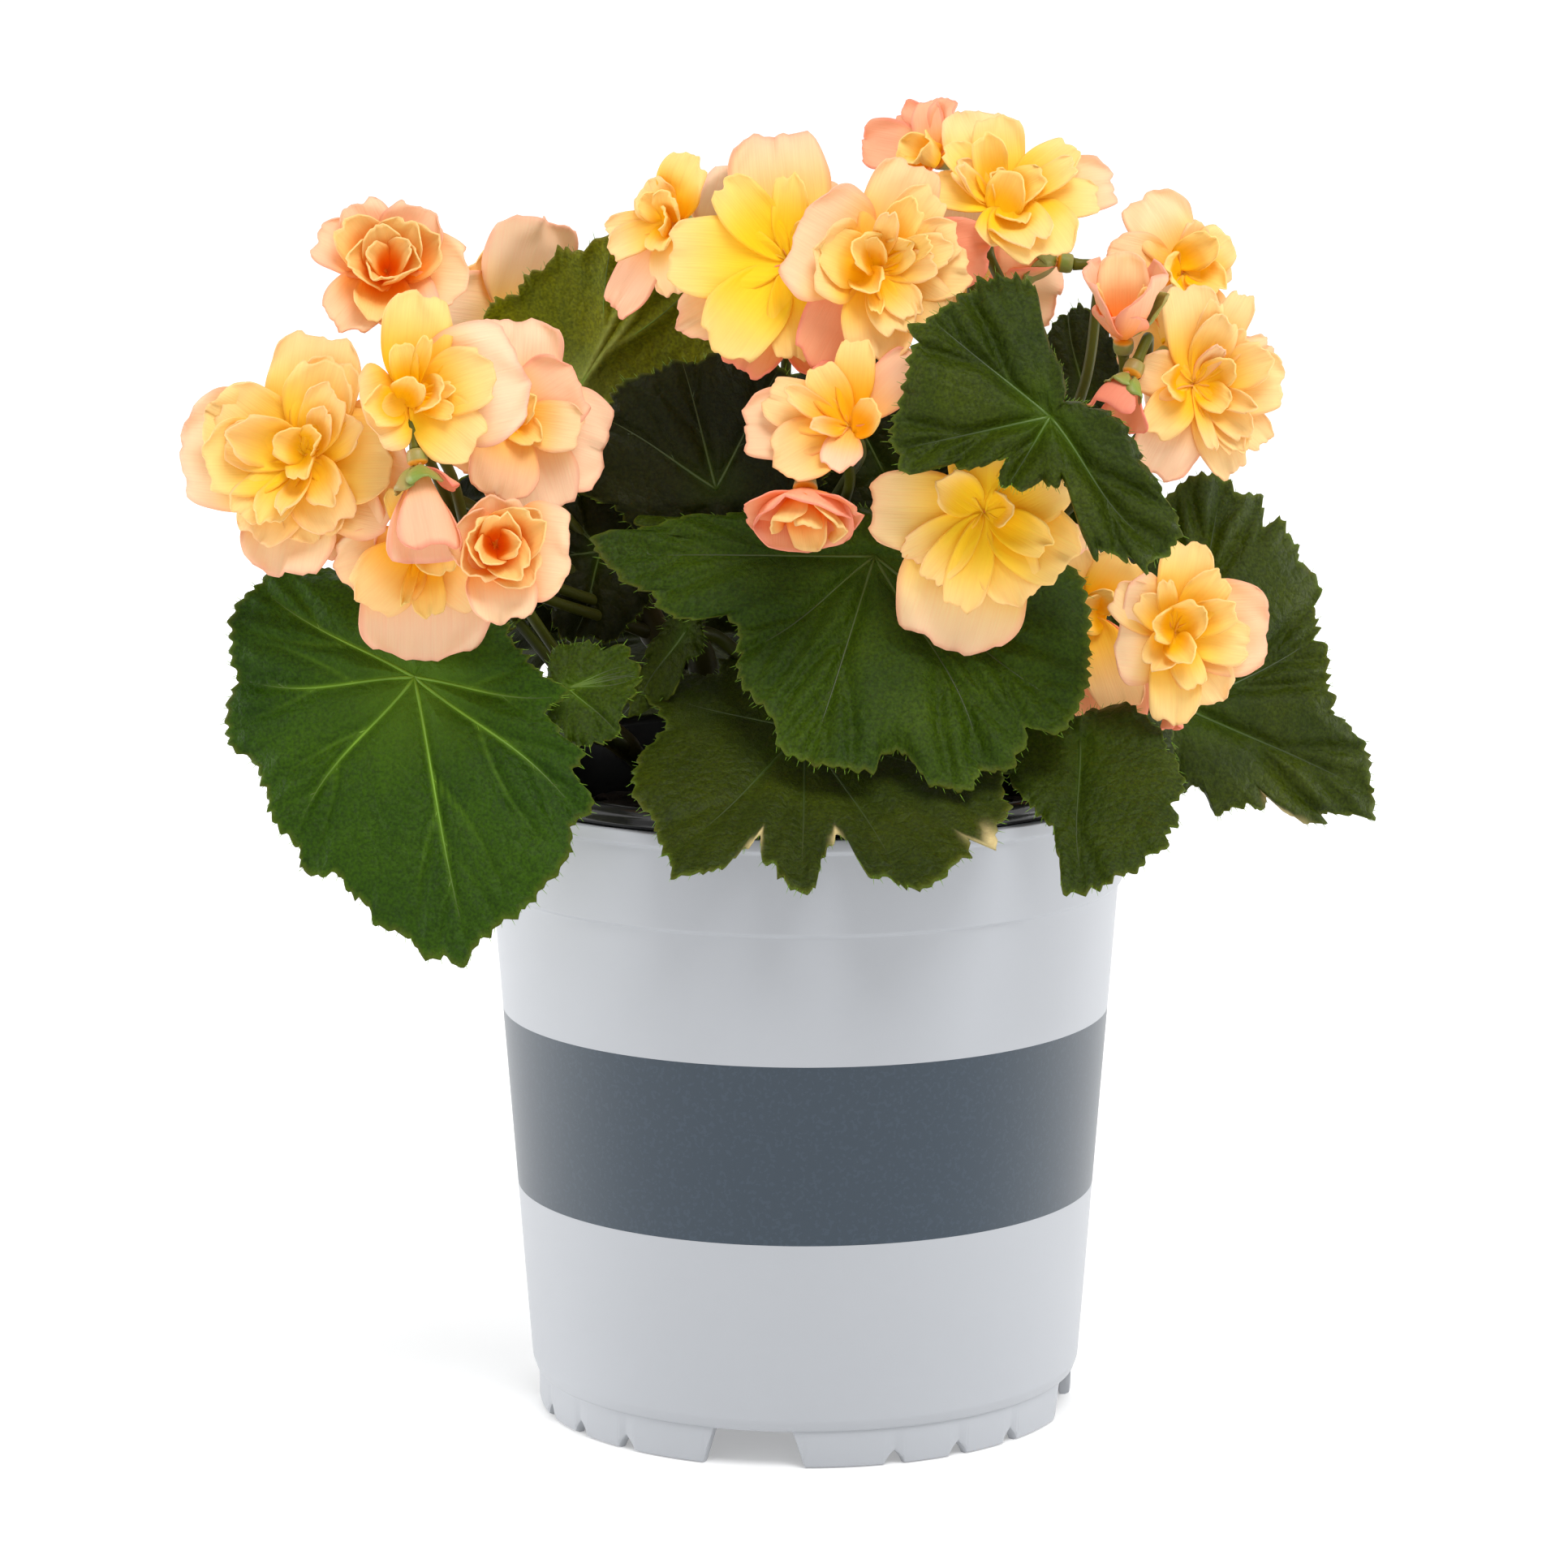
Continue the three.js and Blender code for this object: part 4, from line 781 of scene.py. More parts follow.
add_leaf("leaf_middle_back", (-22, -28, 239), slope=(0.1, 0.15), bend=3, wave=1.5, age=0.95,
         pale=0.13, reach=[
    (0, 27), (30, 32), (60, 34), (90, 33), (120, 34), (150, 36), (175, 32), (200, 24), (240, 12), (270, 8),
    (310, 12), (340, 18)])
add_leaf("leaf_left_back", (-57, 2, 215), slope=(0, -0.05), bend=3, wave=1, age=0.9, pale=0.35, reach=[
    (0, 15), (45, 16), (90, 18), (120, 20), (150, 20), (180, 20), (210, 20), (240, 19), (270, 17),
    (300, 18), (330, 17)])
add_leaf("leaf_middle_large", (17, -48, 225), slope=(0.02, -0.55), bend=4, wave=1.5, age=0.25, pale=0.22,
         quilt=2.4, lobed=True, reach=[
    (8, 36), (11, 32), (35, 18), (70, 9), (110, 13), (140, 22), (159, 31.5), (164, 38), (167, 46.5),
    (171, 53), (173, 57.5), (174, 65.5), (176, 69.5), (179, 68), (181, 66.5), (183, 64), (185, 62.5),
    (188, 58.5), (189, 55), (193, 54.5), (197, 51.5), (199, 47.5), (200, 45), (202, 39), (208, 38),
    (216, 40.5), (219, 43.5), (226, 45.5), (231, 45.5), (236, 46.5), (240, 48), (243, 52.5), (247, 53),
    (253, 53), (263, 52.5), (270, 52.5), (271, 49), (275, 47.5), (279, 49.5), (282, 55), (283, 58),
    (291, 61), (296, 58.5), (302, 61.5), (305, 59.5), (308, 59), (311, 55.5), (313, 58.5), (315, 62),
    (321, 62), (327, 60.5), (334, 57.5), (342, 54.5), (352, 51.5)])
add_leaf("leaf_front_low", (0, -55, 183), slope=(0.05, -1.25), bend=2, wave=1.2, age=0.65, pale=0.18,
         lobed=True, dry=[-114, -74, -31], reach=[
    (20, 30), (50, 12), (80, 7), (110, 11), (140, 27), (147, 26), (151, 28), (153, 31.5), (157, 35),
    (160, 37.5), (169, 40), (172, 36), (178, 34), (184, 37), (188, 40.5), (197, 43.5), (202, 44.5),
    (206, 43), (212, 42.5), (216, 44), (224, 45), (228, 47), (232, 43), (239, 39), (241, 35.5), (243, 31.5),
    (247, 27.5), (249, 30), (252, 33), (258, 33), (260, 35.5), (267, 38.5), (274, 38), (275, 34),
    (278, 30.5), (282, 28), (287, 26.5), (291, 28), (292, 33), (294, 39), (299, 40), (303, 45), (308, 47.5),
    (313, 48), (318, 48), (323, 49), (326, 46.5), (328, 54), (330, 53), (332, 51), (336, 52.5), (339, 53),
    (341, 50.5), (346, 49.5), (358, 44)])
add_leaf("leaf_right_low", (67, -58, 181), slope=(0.1, -0.9), bend=2, wave=1.2, age=0.42, pale=0.18,
         lobed=True, reach=[
    (30, 16), (60, 9), (90, 6), (120, 8), (150, 12), (175, 17), (201, 19.5), (220, 20), (231, 20),
    (250, 22), (257, 28), (262, 37), (275, 35.5), (285, 33), (290, 34), (300, 31.5), (306, 32.5),
    (313, 29.5), (319, 30.5), (325, 26), (332, 27.5), (349, 24), (354, 21)])
add_leaf("leaf_right_large", (97, 15, 177), slope=(-0.3, -0.1), bend=3, wave=2, age=0.6, pale=0.22,
         quilt=2.8, lobed=True, dry=[-46], reach=[
    (2, 39), (9, 38), (25, 41), (27, 38.5), (31, 41), (37, 43), (40, 48), (46, 49.5), (51, 49), (55, 52),
    (59, 53), (61, 55.5), (63, 55.5), (64, 53), (66, 51.5), (68, 55.5), (69, 59), (76, 57.5), (78, 60),
    (85, 60.5), (97, 54), (109, 40), (124, 32), (140, 26), (165, 16), (200, 9), (235, 14), (263, 18.5),
    (270, 21.5), (276, 19.5), (283, 22), (286, 29), (295, 28.5), (304, 29.5), (307, 33), (311, 32.5),
    (313, 30), (315, 39), (317, 43.5), (320, 46), (321, 48), (323, 44.5), (328, 51), (330, 57), (343, 51.5),
    (349, 48.5), (353, 44.5), (356, 42.5), (358, 38.5)])
add_leaf("leaf_top_front", (58, -88, 264), slope=(0, -0.2), bend=5, wave=1.5, age=0.5, pale=0.3, quilt=3.2,
         lobed=True, reach=[
    (2, 14.5), (14, 9), (49, 5), (69, 9), (82, 13.5), (90, 17), (94, 22), (96, 32), (101, 33.5), (103, 36),
    (105, 34.5), (110, 36.5), (112, 35.3), (117, 38), (119, 35.5), (127, 36.5), (129, 35.5), (132, 36.7),
    (140, 37), (148, 39.5), (150, 36), (154, 36.5), (163, 35.5), (170, 35.5), (176, 36), (185, 37.5),
    (190, 38.5), (192, 37), (198, 37.5), (202, 37), (204, 31), (206, 25.5), (210, 25), (216, 21),
    (219, 16.5), (224, 14.5), (228, 18), (234, 20.5), (242, 19), (250, 18.5), (263, 15.5), (274, 17.2),
    (280, 15.5), (283, 17), (285, 30), (287, 36.5), (290, 33.5), (295, 36.5), (297, 39.5), (299, 38),
    (301, 43.5), (304, 42), (308, 42.5), (312, 42.5), (317, 42), (321, 39), (326, 32), (334, 24),
    (349, 19)])
add_leaf("leaf_young", (-58, -58, 194), slope=(0.2, -0.5), bend=3, wave=0.6, age=0.3, pale=0.4, reach=[
    (0, 18), (27, 18), (55, 13), (101, 11), (150, 6), (200, 6), (239, 9), (270, 12), (296, 16), (320, 17),
    (344, 15)])
print("leaves that the front shows:", len(leaf_table))

# %% [markdown]
# ## Leaves of the sides and the far side
# The far side isn't seen, so its leaves follow the plan of the front: large ones low down, smaller ones
# above. They share one outline, a lopsided heart with a slit where the petiole joins. A plain outline is
# enough here, because each leaf still gets its own teeth, ripples and veins.

# %% Sides and far side
HEART_HALF = [(0, 1), (26, 0.93), (48, 0.96), (78, 0.84), (100, 0.85), (128, 0.7), (150, 0.62), (168, 0.4)]
WIDE_SIDE, NARROW_SIDE, SLIT = 1.06, 0.92, 0.12


def plain_reach(size, tip):
    """The lopsided heart: its tip at an angle, and a narrow slit opposite it."""
    wide = [(tip + a, size * r * WIDE_SIDE) for a, r in HEART_HALF]
    narrow = [(tip - a, size * r * NARROW_SIDE) for a, r in HEART_HALF[1:]]
    return wide + [(tip + 180, size * SLIT)] + narrow[::-1]


add_leaf("leaf_side_right", (75, 6, 212), slope=(0, 0.1), bend=3, wave=2, face=(90, 10), reach=[
    (0, 30), (30, 35), (60, 34), (90, 36), (120, 30), (150, 22), (180, 15), (225, 10), (270, 8), (315, 16)])
for name, hub, azimuth, slope, bend, size, tip in (
        ("leaf_side_left", (-82, 14, 220), 266, -0.6, 4, 28, -84),
        ("leaf_rear_1", (86, 62, 198), 125, -0.5, 4, 42, -95),
        ("leaf_rear_2", (36, 68, 188), 158, -0.9, 3, 38, -88),
        ("leaf_rear_3", (-28, 68, 188), 190, -0.8, 4, 42, -92),
        ("leaf_rear_4", (-84, 44, 186), 238, -0.7, 4, 44, -84),
        ("leaf_rear_5", (62, 44, 246), 140, -0.6, 4, 35, -80),
        ("leaf_rear_6", (-18, 44, 242), 180, -0.6, 4, 40, -104),
        ("leaf_rear_7", (-74, 44, 230), 226, -0.6, 4, 34, -92)):
    add_leaf(name, hub, plain_reach(size, tip), (0, slope), bend, 2, face=(azimuth, 10))
print("leaves that stand for a solid:", len(leaf_table))

# %% [markdown]
# ## Small leaves between the stalks
# Young leaves fill the dark inside of the plant, between the stalks. They are too small to be solids of their
# own, so they stand for none. Instead each one notes the stem that it grows from, and how far up the stem,
# and gets its petiole when the stems are made.

# %% Small leaves
add_leaf("small_leaf_right", (70, -2, 259), slope=(0, -0.1), bend=3, wave=1, grows_from=("stem_right", 0.9),
         age=0.85, pale=0.2, reach=[
    (0, 6), (45, 12), (80, 20), (100, 23), (125, 18), (160, 12), (200, 9), (250, 6), (300, 5)])
add_leaf("small_leaf_middle", (20, 8, 238), slope=(0, -0.1), bend=3, wave=1.5,
         grows_from=("stem_middle", 0.88), age=0.9, pale=0.2, reach=[
    (0, 18), (60, 22), (90, 30), (115, 38), (140, 32), (180, 20), (240, 17), (270, 19), (300, 17)])
add_leaf("small_leaf_left", (-51, -16, 222), slope=(0, -0.1), bend=3, wave=1.5,
         grows_from=("stem_left", 0.9), age=1.0, pale=0.15, reach=[
    (0, 12), (45, 14), (90, 15), (135, 16), (180, 15), (215, 19), (250, 23), (280, 22), (310, 17),
    (340, 13)])
add_leaf("small_leaf_curled", (-25, -30, 232), slope=(0.1, -1.2), bend=-14, wave=1.5,
         grows_from=("stem_middle", 0.86), age=0.4, pale=0.3, reach=[
    (0, 4), (90, 5), (120, 8), (150, 13), (165, 17), (180, 17.5), (200, 11), (240, 5), (300, 3)])
add_leaf("small_leaf_folded", (-29, -40, 206), slope=(0.6, -0.2), bend=-8, wave=0.8,
         grows_from=("stem_front", 0.95), age=0.5, pale=0.3, reach=[
    (0, 4), (90, 4), (180, 6), (215, 12), (232, 23), (240, 25), (250, 20), (270, 8)])
for name, stem_name, share, hub, azimuth, slope in (
        ("small_leaf_side_1", "stem_right", 0.85, (64, -4, 238), 82, -0.2),
        ("small_leaf_side_2", "stem_right_low", 0.9, (77, -16, 194), 78, -0.5),
        ("small_leaf_side_3", "stem_left", 0.85, (-70, -8, 234), 276, -0.2),
        ("small_leaf_side_4", "stem_left_low", 0.9, (-80, -18, 196), 282, -0.5)):
    add_leaf(name, hub, plain_reach(25, -95), (0.1, slope), 4, 1.5, face=(azimuth, 8),
             grows_from=(stem_name, share), age=0.7)
print("leaves in all:", len(leaf_table))

# %% [markdown]
# ## The surface of a blade
# A blade isn't flat. It slopes, bends back from its hub, and ripples more and more towards its margin. One
# function gives the place of any point of the blade, and the veins, the bristles and the petiole use it too,
# so all of them fit the same surface.

# %% Outline and surface of a blade
WAVES, BEYOND_MARGIN = 5, 1.12
BEND_RADIUS = 50


def reach_at(reach, angles):
    """How far the margin reaches at each angle: a smooth line through the (angle, reach) pairs."""
    out = np.zeros(len(angles))
    for (a0, r0), (a1, r1) in zip(reach, reach[1:] + reach[:1]):
        span, part = (a1 - a0) % 360, (angles - a0) % 360
        inside = part < span
        out[inside] = r0 + (r1 - r0) * (1 - np.cos(np.pi * part[inside] / span)) / 2
    return out


def blade_at(leaf, x, y, raised=0.0):
    """The place of points of the blade, given in its layout plane from its hub."""
    radius, angle = np.hypot(x, y), np.degrees(np.arctan2(y, x))
    share = np.minimum(radius / reach_at(leaf["reach"], angle), BEYOND_MARGIN)
    turn = np.radians(angle)
    ripple = leaf["wave"] * share ** 2 * np.sin(WAVES * turn + math.radians(leaf["seed"] * 50))
    ruffle = 0.8 * share ** 5 * np.sin(13 * turn + leaf["seed"]) + 0.4 * share ** 8 * np.sin(31 * turn)
    depth = (leaf["slope"][0] * x + leaf["slope"][1] * y - leaf["bend"] * radius ** 2 / BEND_RADIUS ** 2
             + ripple + ruffle + raised)
    return at(leaf["hub"], facing(leaf["face"]), x, y, depth)


tip = blade_at(leaf_table[0], np.array([0.0]), np.array([-60.0]))[0]
print("a point near the tip of", leaf_table[0]["name"], "lies at", tip.round(1), "mm")

# %% [markdown]
# ## Teeth
# The margin is cut into uneven teeth. Teeth spaced by angle would crowd where the margin is near the hub, so
# they are spaced along the margin's length, as on the real leaf. Outlines that were read closely already
# have their broad lobes and get only the small teeth. The others get both.

# %% Teeth of the margin
LOBE_PITCH, LOBE_DEPTH, LOBE_PEAK = 13.0, 3.4, 0.6
TOOTH_PITCH, TOOTH_DEPTH, TOOTH_PEAK = 3.4, 1.5, 0.7
FEWEST_TEETH = 8


def margin_run(leaf, angles):
    """How far along the margin each angle lies, and the margin's whole length."""
    ring = np.arange(0, 360.5, 0.5)
    reach = reach_at(leaf["reach"], ring)
    run = np.concatenate([[0], np.cumsum(np.hypot(np.diff(reach), math.radians(0.5) * reach[1:]))])
    return np.interp(angles % 360, ring, run), run[-1]


def cuts(leaf, angles, pitch, peak, power):
    """Uneven teeth between 0 and about 1: each rises to its peak and falls off towards the next."""
    run, whole = margin_run(leaf, angles)
    count = max(round(whole / pitch), FEWEST_TEETH)
    steps = np.array([0.55 + 0.9 * draw(leaf["seed"] + i, pitch) for i in range(count)])
    ends = np.concatenate([[0], np.cumsum(steps)]) * whole / steps.sum()
    phase = np.interp(run, ends, range(count + 1))
    tall = np.array([0.4 + 0.9 * draw(leaf["seed"] + i, pitch + 1) for i in range(count)])
    tall = tall[np.floor(phase).astype(int) % count]
    part = phase % 1
    return tall * np.where(part < peak, part / peak, (1 - part) / (1 - peak)) ** power


def tooth_at(leaf, angles):
    """How much further the cut margin reaches at each angle: broad lobes with small teeth on them."""
    depth = 0 if leaf.get("lobed") else LOBE_DEPTH
    lobes = depth * (cuts(leaf, angles, LOBE_PITCH, LOBE_PEAK, 0.7) - 0.55)
    return lobes + TOOTH_DEPTH * (cuts(leaf, angles, TOOTH_PITCH, TOOTH_PEAK, 1.0) - 0.4)


margin_length = margin_run(leaf_table[0], np.zeros(1))[1]
print("the margin of", leaf_table[0]["name"], "is", round(margin_length), "mm long and has",
      round(margin_length / TOOTH_PITCH), "teeth")

# %% [markdown]
# ## Main veins
# The veins are laid out before the blade, because its quilting follows them. A main vein goes to each lobe,
# where the outline reaches furthest, and to the middle of any wide stretch without a lobe. It bends gently
# one way or the other.

# %% Main veins
VEIN_BEND, VEIN_END, VEIN_POINTS = 14, 0.96, 16
WIDE_STRETCH, ROUND_THE_HUB = 56, 150


def lobe_angles(leaf):
    """The angles that main veins go to."""
    angles = np.arange(0, 360, 2.0)
    reach = reach_at(leaf["reach"], angles)
    soft = sum(np.roll(reach, k) for k in range(-4, 5)) / 9
    near = np.array([np.roll(soft, k) for k in range(-8, 9)]).max(axis=0)
    tips = list(angles[(soft >= near - 1e-9) & (soft > 0.4 * soft.max())])
    for a, b in zip(tips, tips[1:] + [tips[0] + 360]):
        wide = b - a
        middle = (a + wide / 2) % 360
        long = reach_at(leaf["reach"], np.array([middle]))[0] > 0.5 * soft.max()
        if WIDE_STRETCH < wide < ROUND_THE_HUB and long:
            tips.append(middle)
    return sorted(tips)


def main_veins(leaf, angles):
    """A path from the hub towards each angle, as (x, y) points in the layout plane."""
    f = np.linspace(0, VEIN_END, VEIN_POINTS)
    paths = []
    for number, angle in enumerate(angles):
        turn = np.radians(angle + VEIN_BEND * (draw(leaf["seed"], number) - 0.5) * np.sin(np.pi * f))
        radius = f * reach_at(leaf["reach"], np.array([angle % 360.0]))[0]
        paths.append(np.stack([radius * np.cos(turn), radius * np.sin(turn)], 1))
    return paths


print("main veins of", leaf_table[4]["name"], "go to", [int(a) for a in lobe_angles(leaf_table[4])])

# %% [markdown]
# ## Side veins
# Side veins leave a main vein by turns to either hand and bend forward. A side vein is walked step by step,
# and it stops near the margin or half-way to the next main vein, so that no two nets run into each other.

# %% Side veins
SIDE_PITCH, SIDE_ANGLE, SIDE_TURN = 8.0, 36, 2.2
SIDE_STEP, SIDE_STEPS = 2.6, 12
SIDE_FROM, SIDE_RUN, SIDE_END = 0.34, 0.58, 0.95


def walk_side_vein(leaf, angle, spot, heading, hand, limit):
    """The points of one side vein of the main vein at an angle."""
    points = [spot]
    for _ in range(SIDE_STEPS):
        way = math.radians(heading)
        spot = spot + SIDE_STEP * np.array([math.cos(way), math.sin(way)])
        heading -= hand * SIDE_TURN
        share = np.hypot(*spot) / reach_at(leaf["reach"], np.degrees(np.arctan2(spot[1:], spot[:1])))[0]
        away = abs((math.degrees(math.atan2(spot[1], spot[0])) - angle + 180) % 360 - 180)
        if share > SIDE_END or away > limit:
            break
        points.append(spot)
    return np.array(points)


def side_veins(leaf, angles, mains):
    """The side veins of all main veins."""
    paths = []
    for number, (angle, path) in enumerate(zip(angles, mains)):
        count = int(np.hypot(*path[-1]) * 0.68 / SIDE_PITCH)
        for k in range(count):
            f = SIDE_FROM + SIDE_RUN * (k + 0.3 * draw(number, k)) / count
            hand = 1 if (k + number) % 2 else -1
            row = f * (VEIN_POINTS - 1) / VEIN_END
            spot = np.array([np.interp(row, range(VEIN_POINTS), path[:, i]) for i in (0, 1)])
            others = [abs((other - angle + 180) % 360 - 180) for other in angles
                      if ((other - angle) * hand) % 360 < 180 and other != angle]
            limit = 0.5 * min(others + [60]) + 1
            points = walk_side_vein(leaf, angle, spot, angle + hand * (SIDE_ANGLE - 8 * f), hand, limit)
            if len(points) > 2:
                paths.append(points)
    return paths


def vein_paths(leaf):
    """The main veins and the side veins of a leaf."""
    angles = leaf.get("veins") or lobe_angles(leaf)
    mains = main_veins(leaf, angles)
    return mains, side_veins(leaf, angles, mains)


mains, sides = vein_paths(leaf_table[0])
print(leaf_table[0]["name"], "has", len(mains), "main veins and", len(sides), "side veins")

# %% [markdown]
# ## Leaf finishes
# The upper side is dark green, uneven, paler along the veins and yellow-green at the margin, with a satin
# gloss and fine cells. Soft clouds of painted sun and painted shade lie over the green. The under side is
# paler and matt. The blade is thin, so a little light comes through.

# %% Leaf finishes
LEAF_SHADE, LEAF_SUN = (0.62, 0.7, 0.9, 1), (1.35, 1.25, 0.5, 1)
DRY_SPOT, BROWN_EDGE, RIM_SHARE = screen(206, 186, 132), screen(96, 80, 28), 0.6


def leaf_finish(name, fresh, olive, deep, vein_colour, rim_colour, roughness, through):
    """A finish for one side of the blades. A leaf's age leads from fresh over olive to deep green;
    the deeper greens of leaves that stand in shade are painted shade.
    """
    material, tree, shader = finish(name, roughness, IOR=1.45, Specular_IOR_Level=0.13)
    age = mark(tree, "warm")
    green = blend(tree, smooth_step(tree, age, 0.0, 0.5), fresh, olive)
    green = blend(tree, smooth_step(tree, age, 0.5, 1.0), green, deep)
    # A shaded and a lit copy of the green, blended in soft clouds: painted shade and painted sun.
    painted_shade_green = blend(tree, 1.0, green, LEAF_SHADE, "MULTIPLY")
    painted_sun_green = blend(tree, 1.0, green, LEAF_SUN, "MULTIPLY")
    body = use_group(tree, uneven, Colour=painted_shade_green, Other=painted_sun_green, Scale=48.0, Amount=0.9)
    body = use_group(tree, uneven, Colour=body, Other=green, Scale=300.0, Amount=0.6)
    speckle = use_group(tree, uneven, Colour=(0.66, 0.66, 0.66, 1), Other=(1.3, 1.3, 1.2, 1), Scale=1300.0,
                        Amount=1.0)
    body = blend(tree, 1.0, body, speckle, "MULTIPLY")
    body = blend(tree, mark(tree, "vein"), body, vein_colour)
    body = blend(tree, mark(tree, "tone"), body, vein_colour)
    rim = maths(tree, "MULTIPLY", mark(tree, "rim"), RIM_SHARE)
    edge = use_group(tree, uneven, Colour=rim_colour, Other=BROWN_EDGE, Scale=160.0, Amount=0.6)
    body = blend(tree, rim, body, edge)
    body = blend(tree, mark(tree, "dry"), body, DRY_SPOT)
    tree.links.new(body, shader.inputs["Base Color"])
    cells = node(tree, "ShaderNodeTexVoronoi", feature="DISTANCE_TO_EDGE", Vector=position(tree), Scale=260.0)
    creases = maths(tree, "MULTIPLY", cells.outputs["Distance"], 1.6)
    skin = maths(tree, "MULTIPLY_ADD", use_group(tree, grain, Scale=1500.0, Sharpness=0.65), 0.6, creases)
    bump(tree, shader, skin, 0.6, 0.0009)
    let_light_through(tree, shader, green, through)
    return material


leaf_upper = leaf_finish("leaf upper side", screen(42, 70, 0), screen(50, 62, 5), screen(26, 29, 2),
                         screen(96, 134, 28), screen(92, 112, 28), 0.42, 0.08)
leaf_under = leaf_finish("leaf under side", screen(110, 116, 10), screen(44, 50, 8), screen(30, 33, 6),
                         screen(150, 160, 74), screen(120, 112, 50), 0.6, 0.15)
leaf_vein, tree, shader = finish("leaf vein", 0.45)
lime = use_group(tree, uneven, Colour=screen(112, 152, 22), Other=screen(86, 124, 16), Scale=90.0, Amount=0.6)
tree.links.new(blend(tree, mark(tree, "tone"), screen(42, 54, 6), lime), shader.inputs["Base Color"])
print("leaf finishes:", leaf_upper.name, "/", leaf_under.name, "/", leaf_vein.name)

# %% [markdown]
# ## Blades
# A blade is a grid with one edge gathered at the hub and the other laid along the cut margin, so the teeth
# cost few points. It sinks in along the veins and bulges between them like a quilt. Near a vein the points
# also keep a mark, which paints the vein's paler green. Solidify gives the blade its thickness, and a second
# finish for its other side. One leaf is seen from below, so its two sides change places.

# %% Blade of a leaf
BLADE_THICKNESS, FULL_SIZE = 0.5, 45
MAIN_QUILT, MAIN_GROOVE, SIDE_GROOVE = 0.9, 5, 2.2
DRY_WIDTH = 2.8


def vein_shows(leaf, share):
    """How plainly a vein shows at a share of the reach. It fades sooner on the darker leaves."""
    pale = leaf.get("pale", 0.3)
    return pale * (1 - 0.94 * smooth(share, 0.12 + 0.25 * pale, 0.5 + 0.42 * pale))


def distance_to(paths, x, y):
    """The distance from points to the nearest of some paths."""
    starts = np.vstack([p[:-1] for p in paths])
    ways = np.vstack([p[1:] for p in paths]) - starts
    spots = np.stack([x, y], 1)[:, None]
    f = np.clip(((spots - starts) * ways).sum(2) / (ways ** 2).sum(1), 0, 1)
    return np.sqrt((((spots - starts) - f[..., None] * ways) ** 2).sum(2).min(axis=1))


def hill(distance, width):
    """1 at no distance, and falling to 0 over a width."""
    return np.exp(-(distance / width) ** 2)


def make_blade(leaf, mains, sides, columns, rows):
    largest = max(r for _, r in leaf["reach"])
    fine = min(1.0, largest / FULL_SIZE)

    def margin(u, v):
        angle = -360 * u
        share = 1 - (1 - v) ** 1.3
        reach = reach_at(leaf["reach"], angle % 360)
        radius = share * (reach + tooth_at(leaf, angle) * share ** 7 * np.minimum(reach / 25, 1))
        x, y = radius * np.cos(np.radians(angle)), radius * np.sin(np.radians(angle))
        to_main, to_side = distance_to(mains, x, y), distance_to(mains + sides, x, y)
        quilt = (leaf.get("quilt", 1.5) * (1 - hill(to_side, SIDE_GROOVE * fine))
                 + MAIN_QUILT * (1 - hill(to_main, MAIN_GROOVE * fine)))
        quilt *= fine * smooth(share, 0.02, 0.2) * (1 - 0.6 * smooth(share, 0.85, 1))
        pale = vein_shows(leaf, share)
        brown = np.zeros(len(u))
        for spot in leaf.get("dry", []):
            away = (angle - spot + 180) % 360 - 180
            brown = np.maximum(brown, hill(away, DRY_WIDTH) * smooth(share, 0.9, 0.97))
        marks = {
            "along": share, "warm": np.full(len(u), leaf.get("age", 0.5)), "dry": brown,
            "vein": pale * (0.5 * hill(to_main, 0.7) + 0.4 * hill(to_side, 0.5)),
            "tone": 0.5 * pale * hill(radius, 0.22 * largest),
            "rim": smooth(share, 0.975, 1)}
        return blade_at(leaf, x, y, (-1 if leaf.get("turned") else 1) * (quilt - 1.0)), marks

    bm = new_sheet_mesh()
    sheet(bm, columns, rows, margin, merge=True)
    finishes = [leaf_under, leaf_upper] if leaf.get("turned") else [leaf_upper, leaf_under]
    blade = piece(leaf["name"], bm, finishes, BLADE_THICKNESS,
                  stands_for_solid=not leaf["grows_from"])
    blade.modifiers["wall"].material_offset = 1
    blade.modifiers["wall"].material_offset_rim = 0


print("blades that reach", FULL_SIZE, "mm are quilted in full, and smaller ones less")

# %% [markdown]
# ## Veins and bristles
# The veins stand out under the blade, as thin tubes that taper towards the margin. Along the margin the leaf
# has fine bristles. They are drawn out as tubes of three sides, because there are some thousands of them,
# and each leans its own way.

# %% Veins and bristles of a leaf
BRISTLE_PITCH, BRISTLE_LEAN = 1.9, 50
BRISTLE_STEPS, BRISTLE_RADII = (-0.3, 0.5, 1.0), (0.1, 0.07, 0.03)
MAIN_RADII, SIDE_RADII = (0.48, 0.1, 8), (0.2, 0.08, 5)


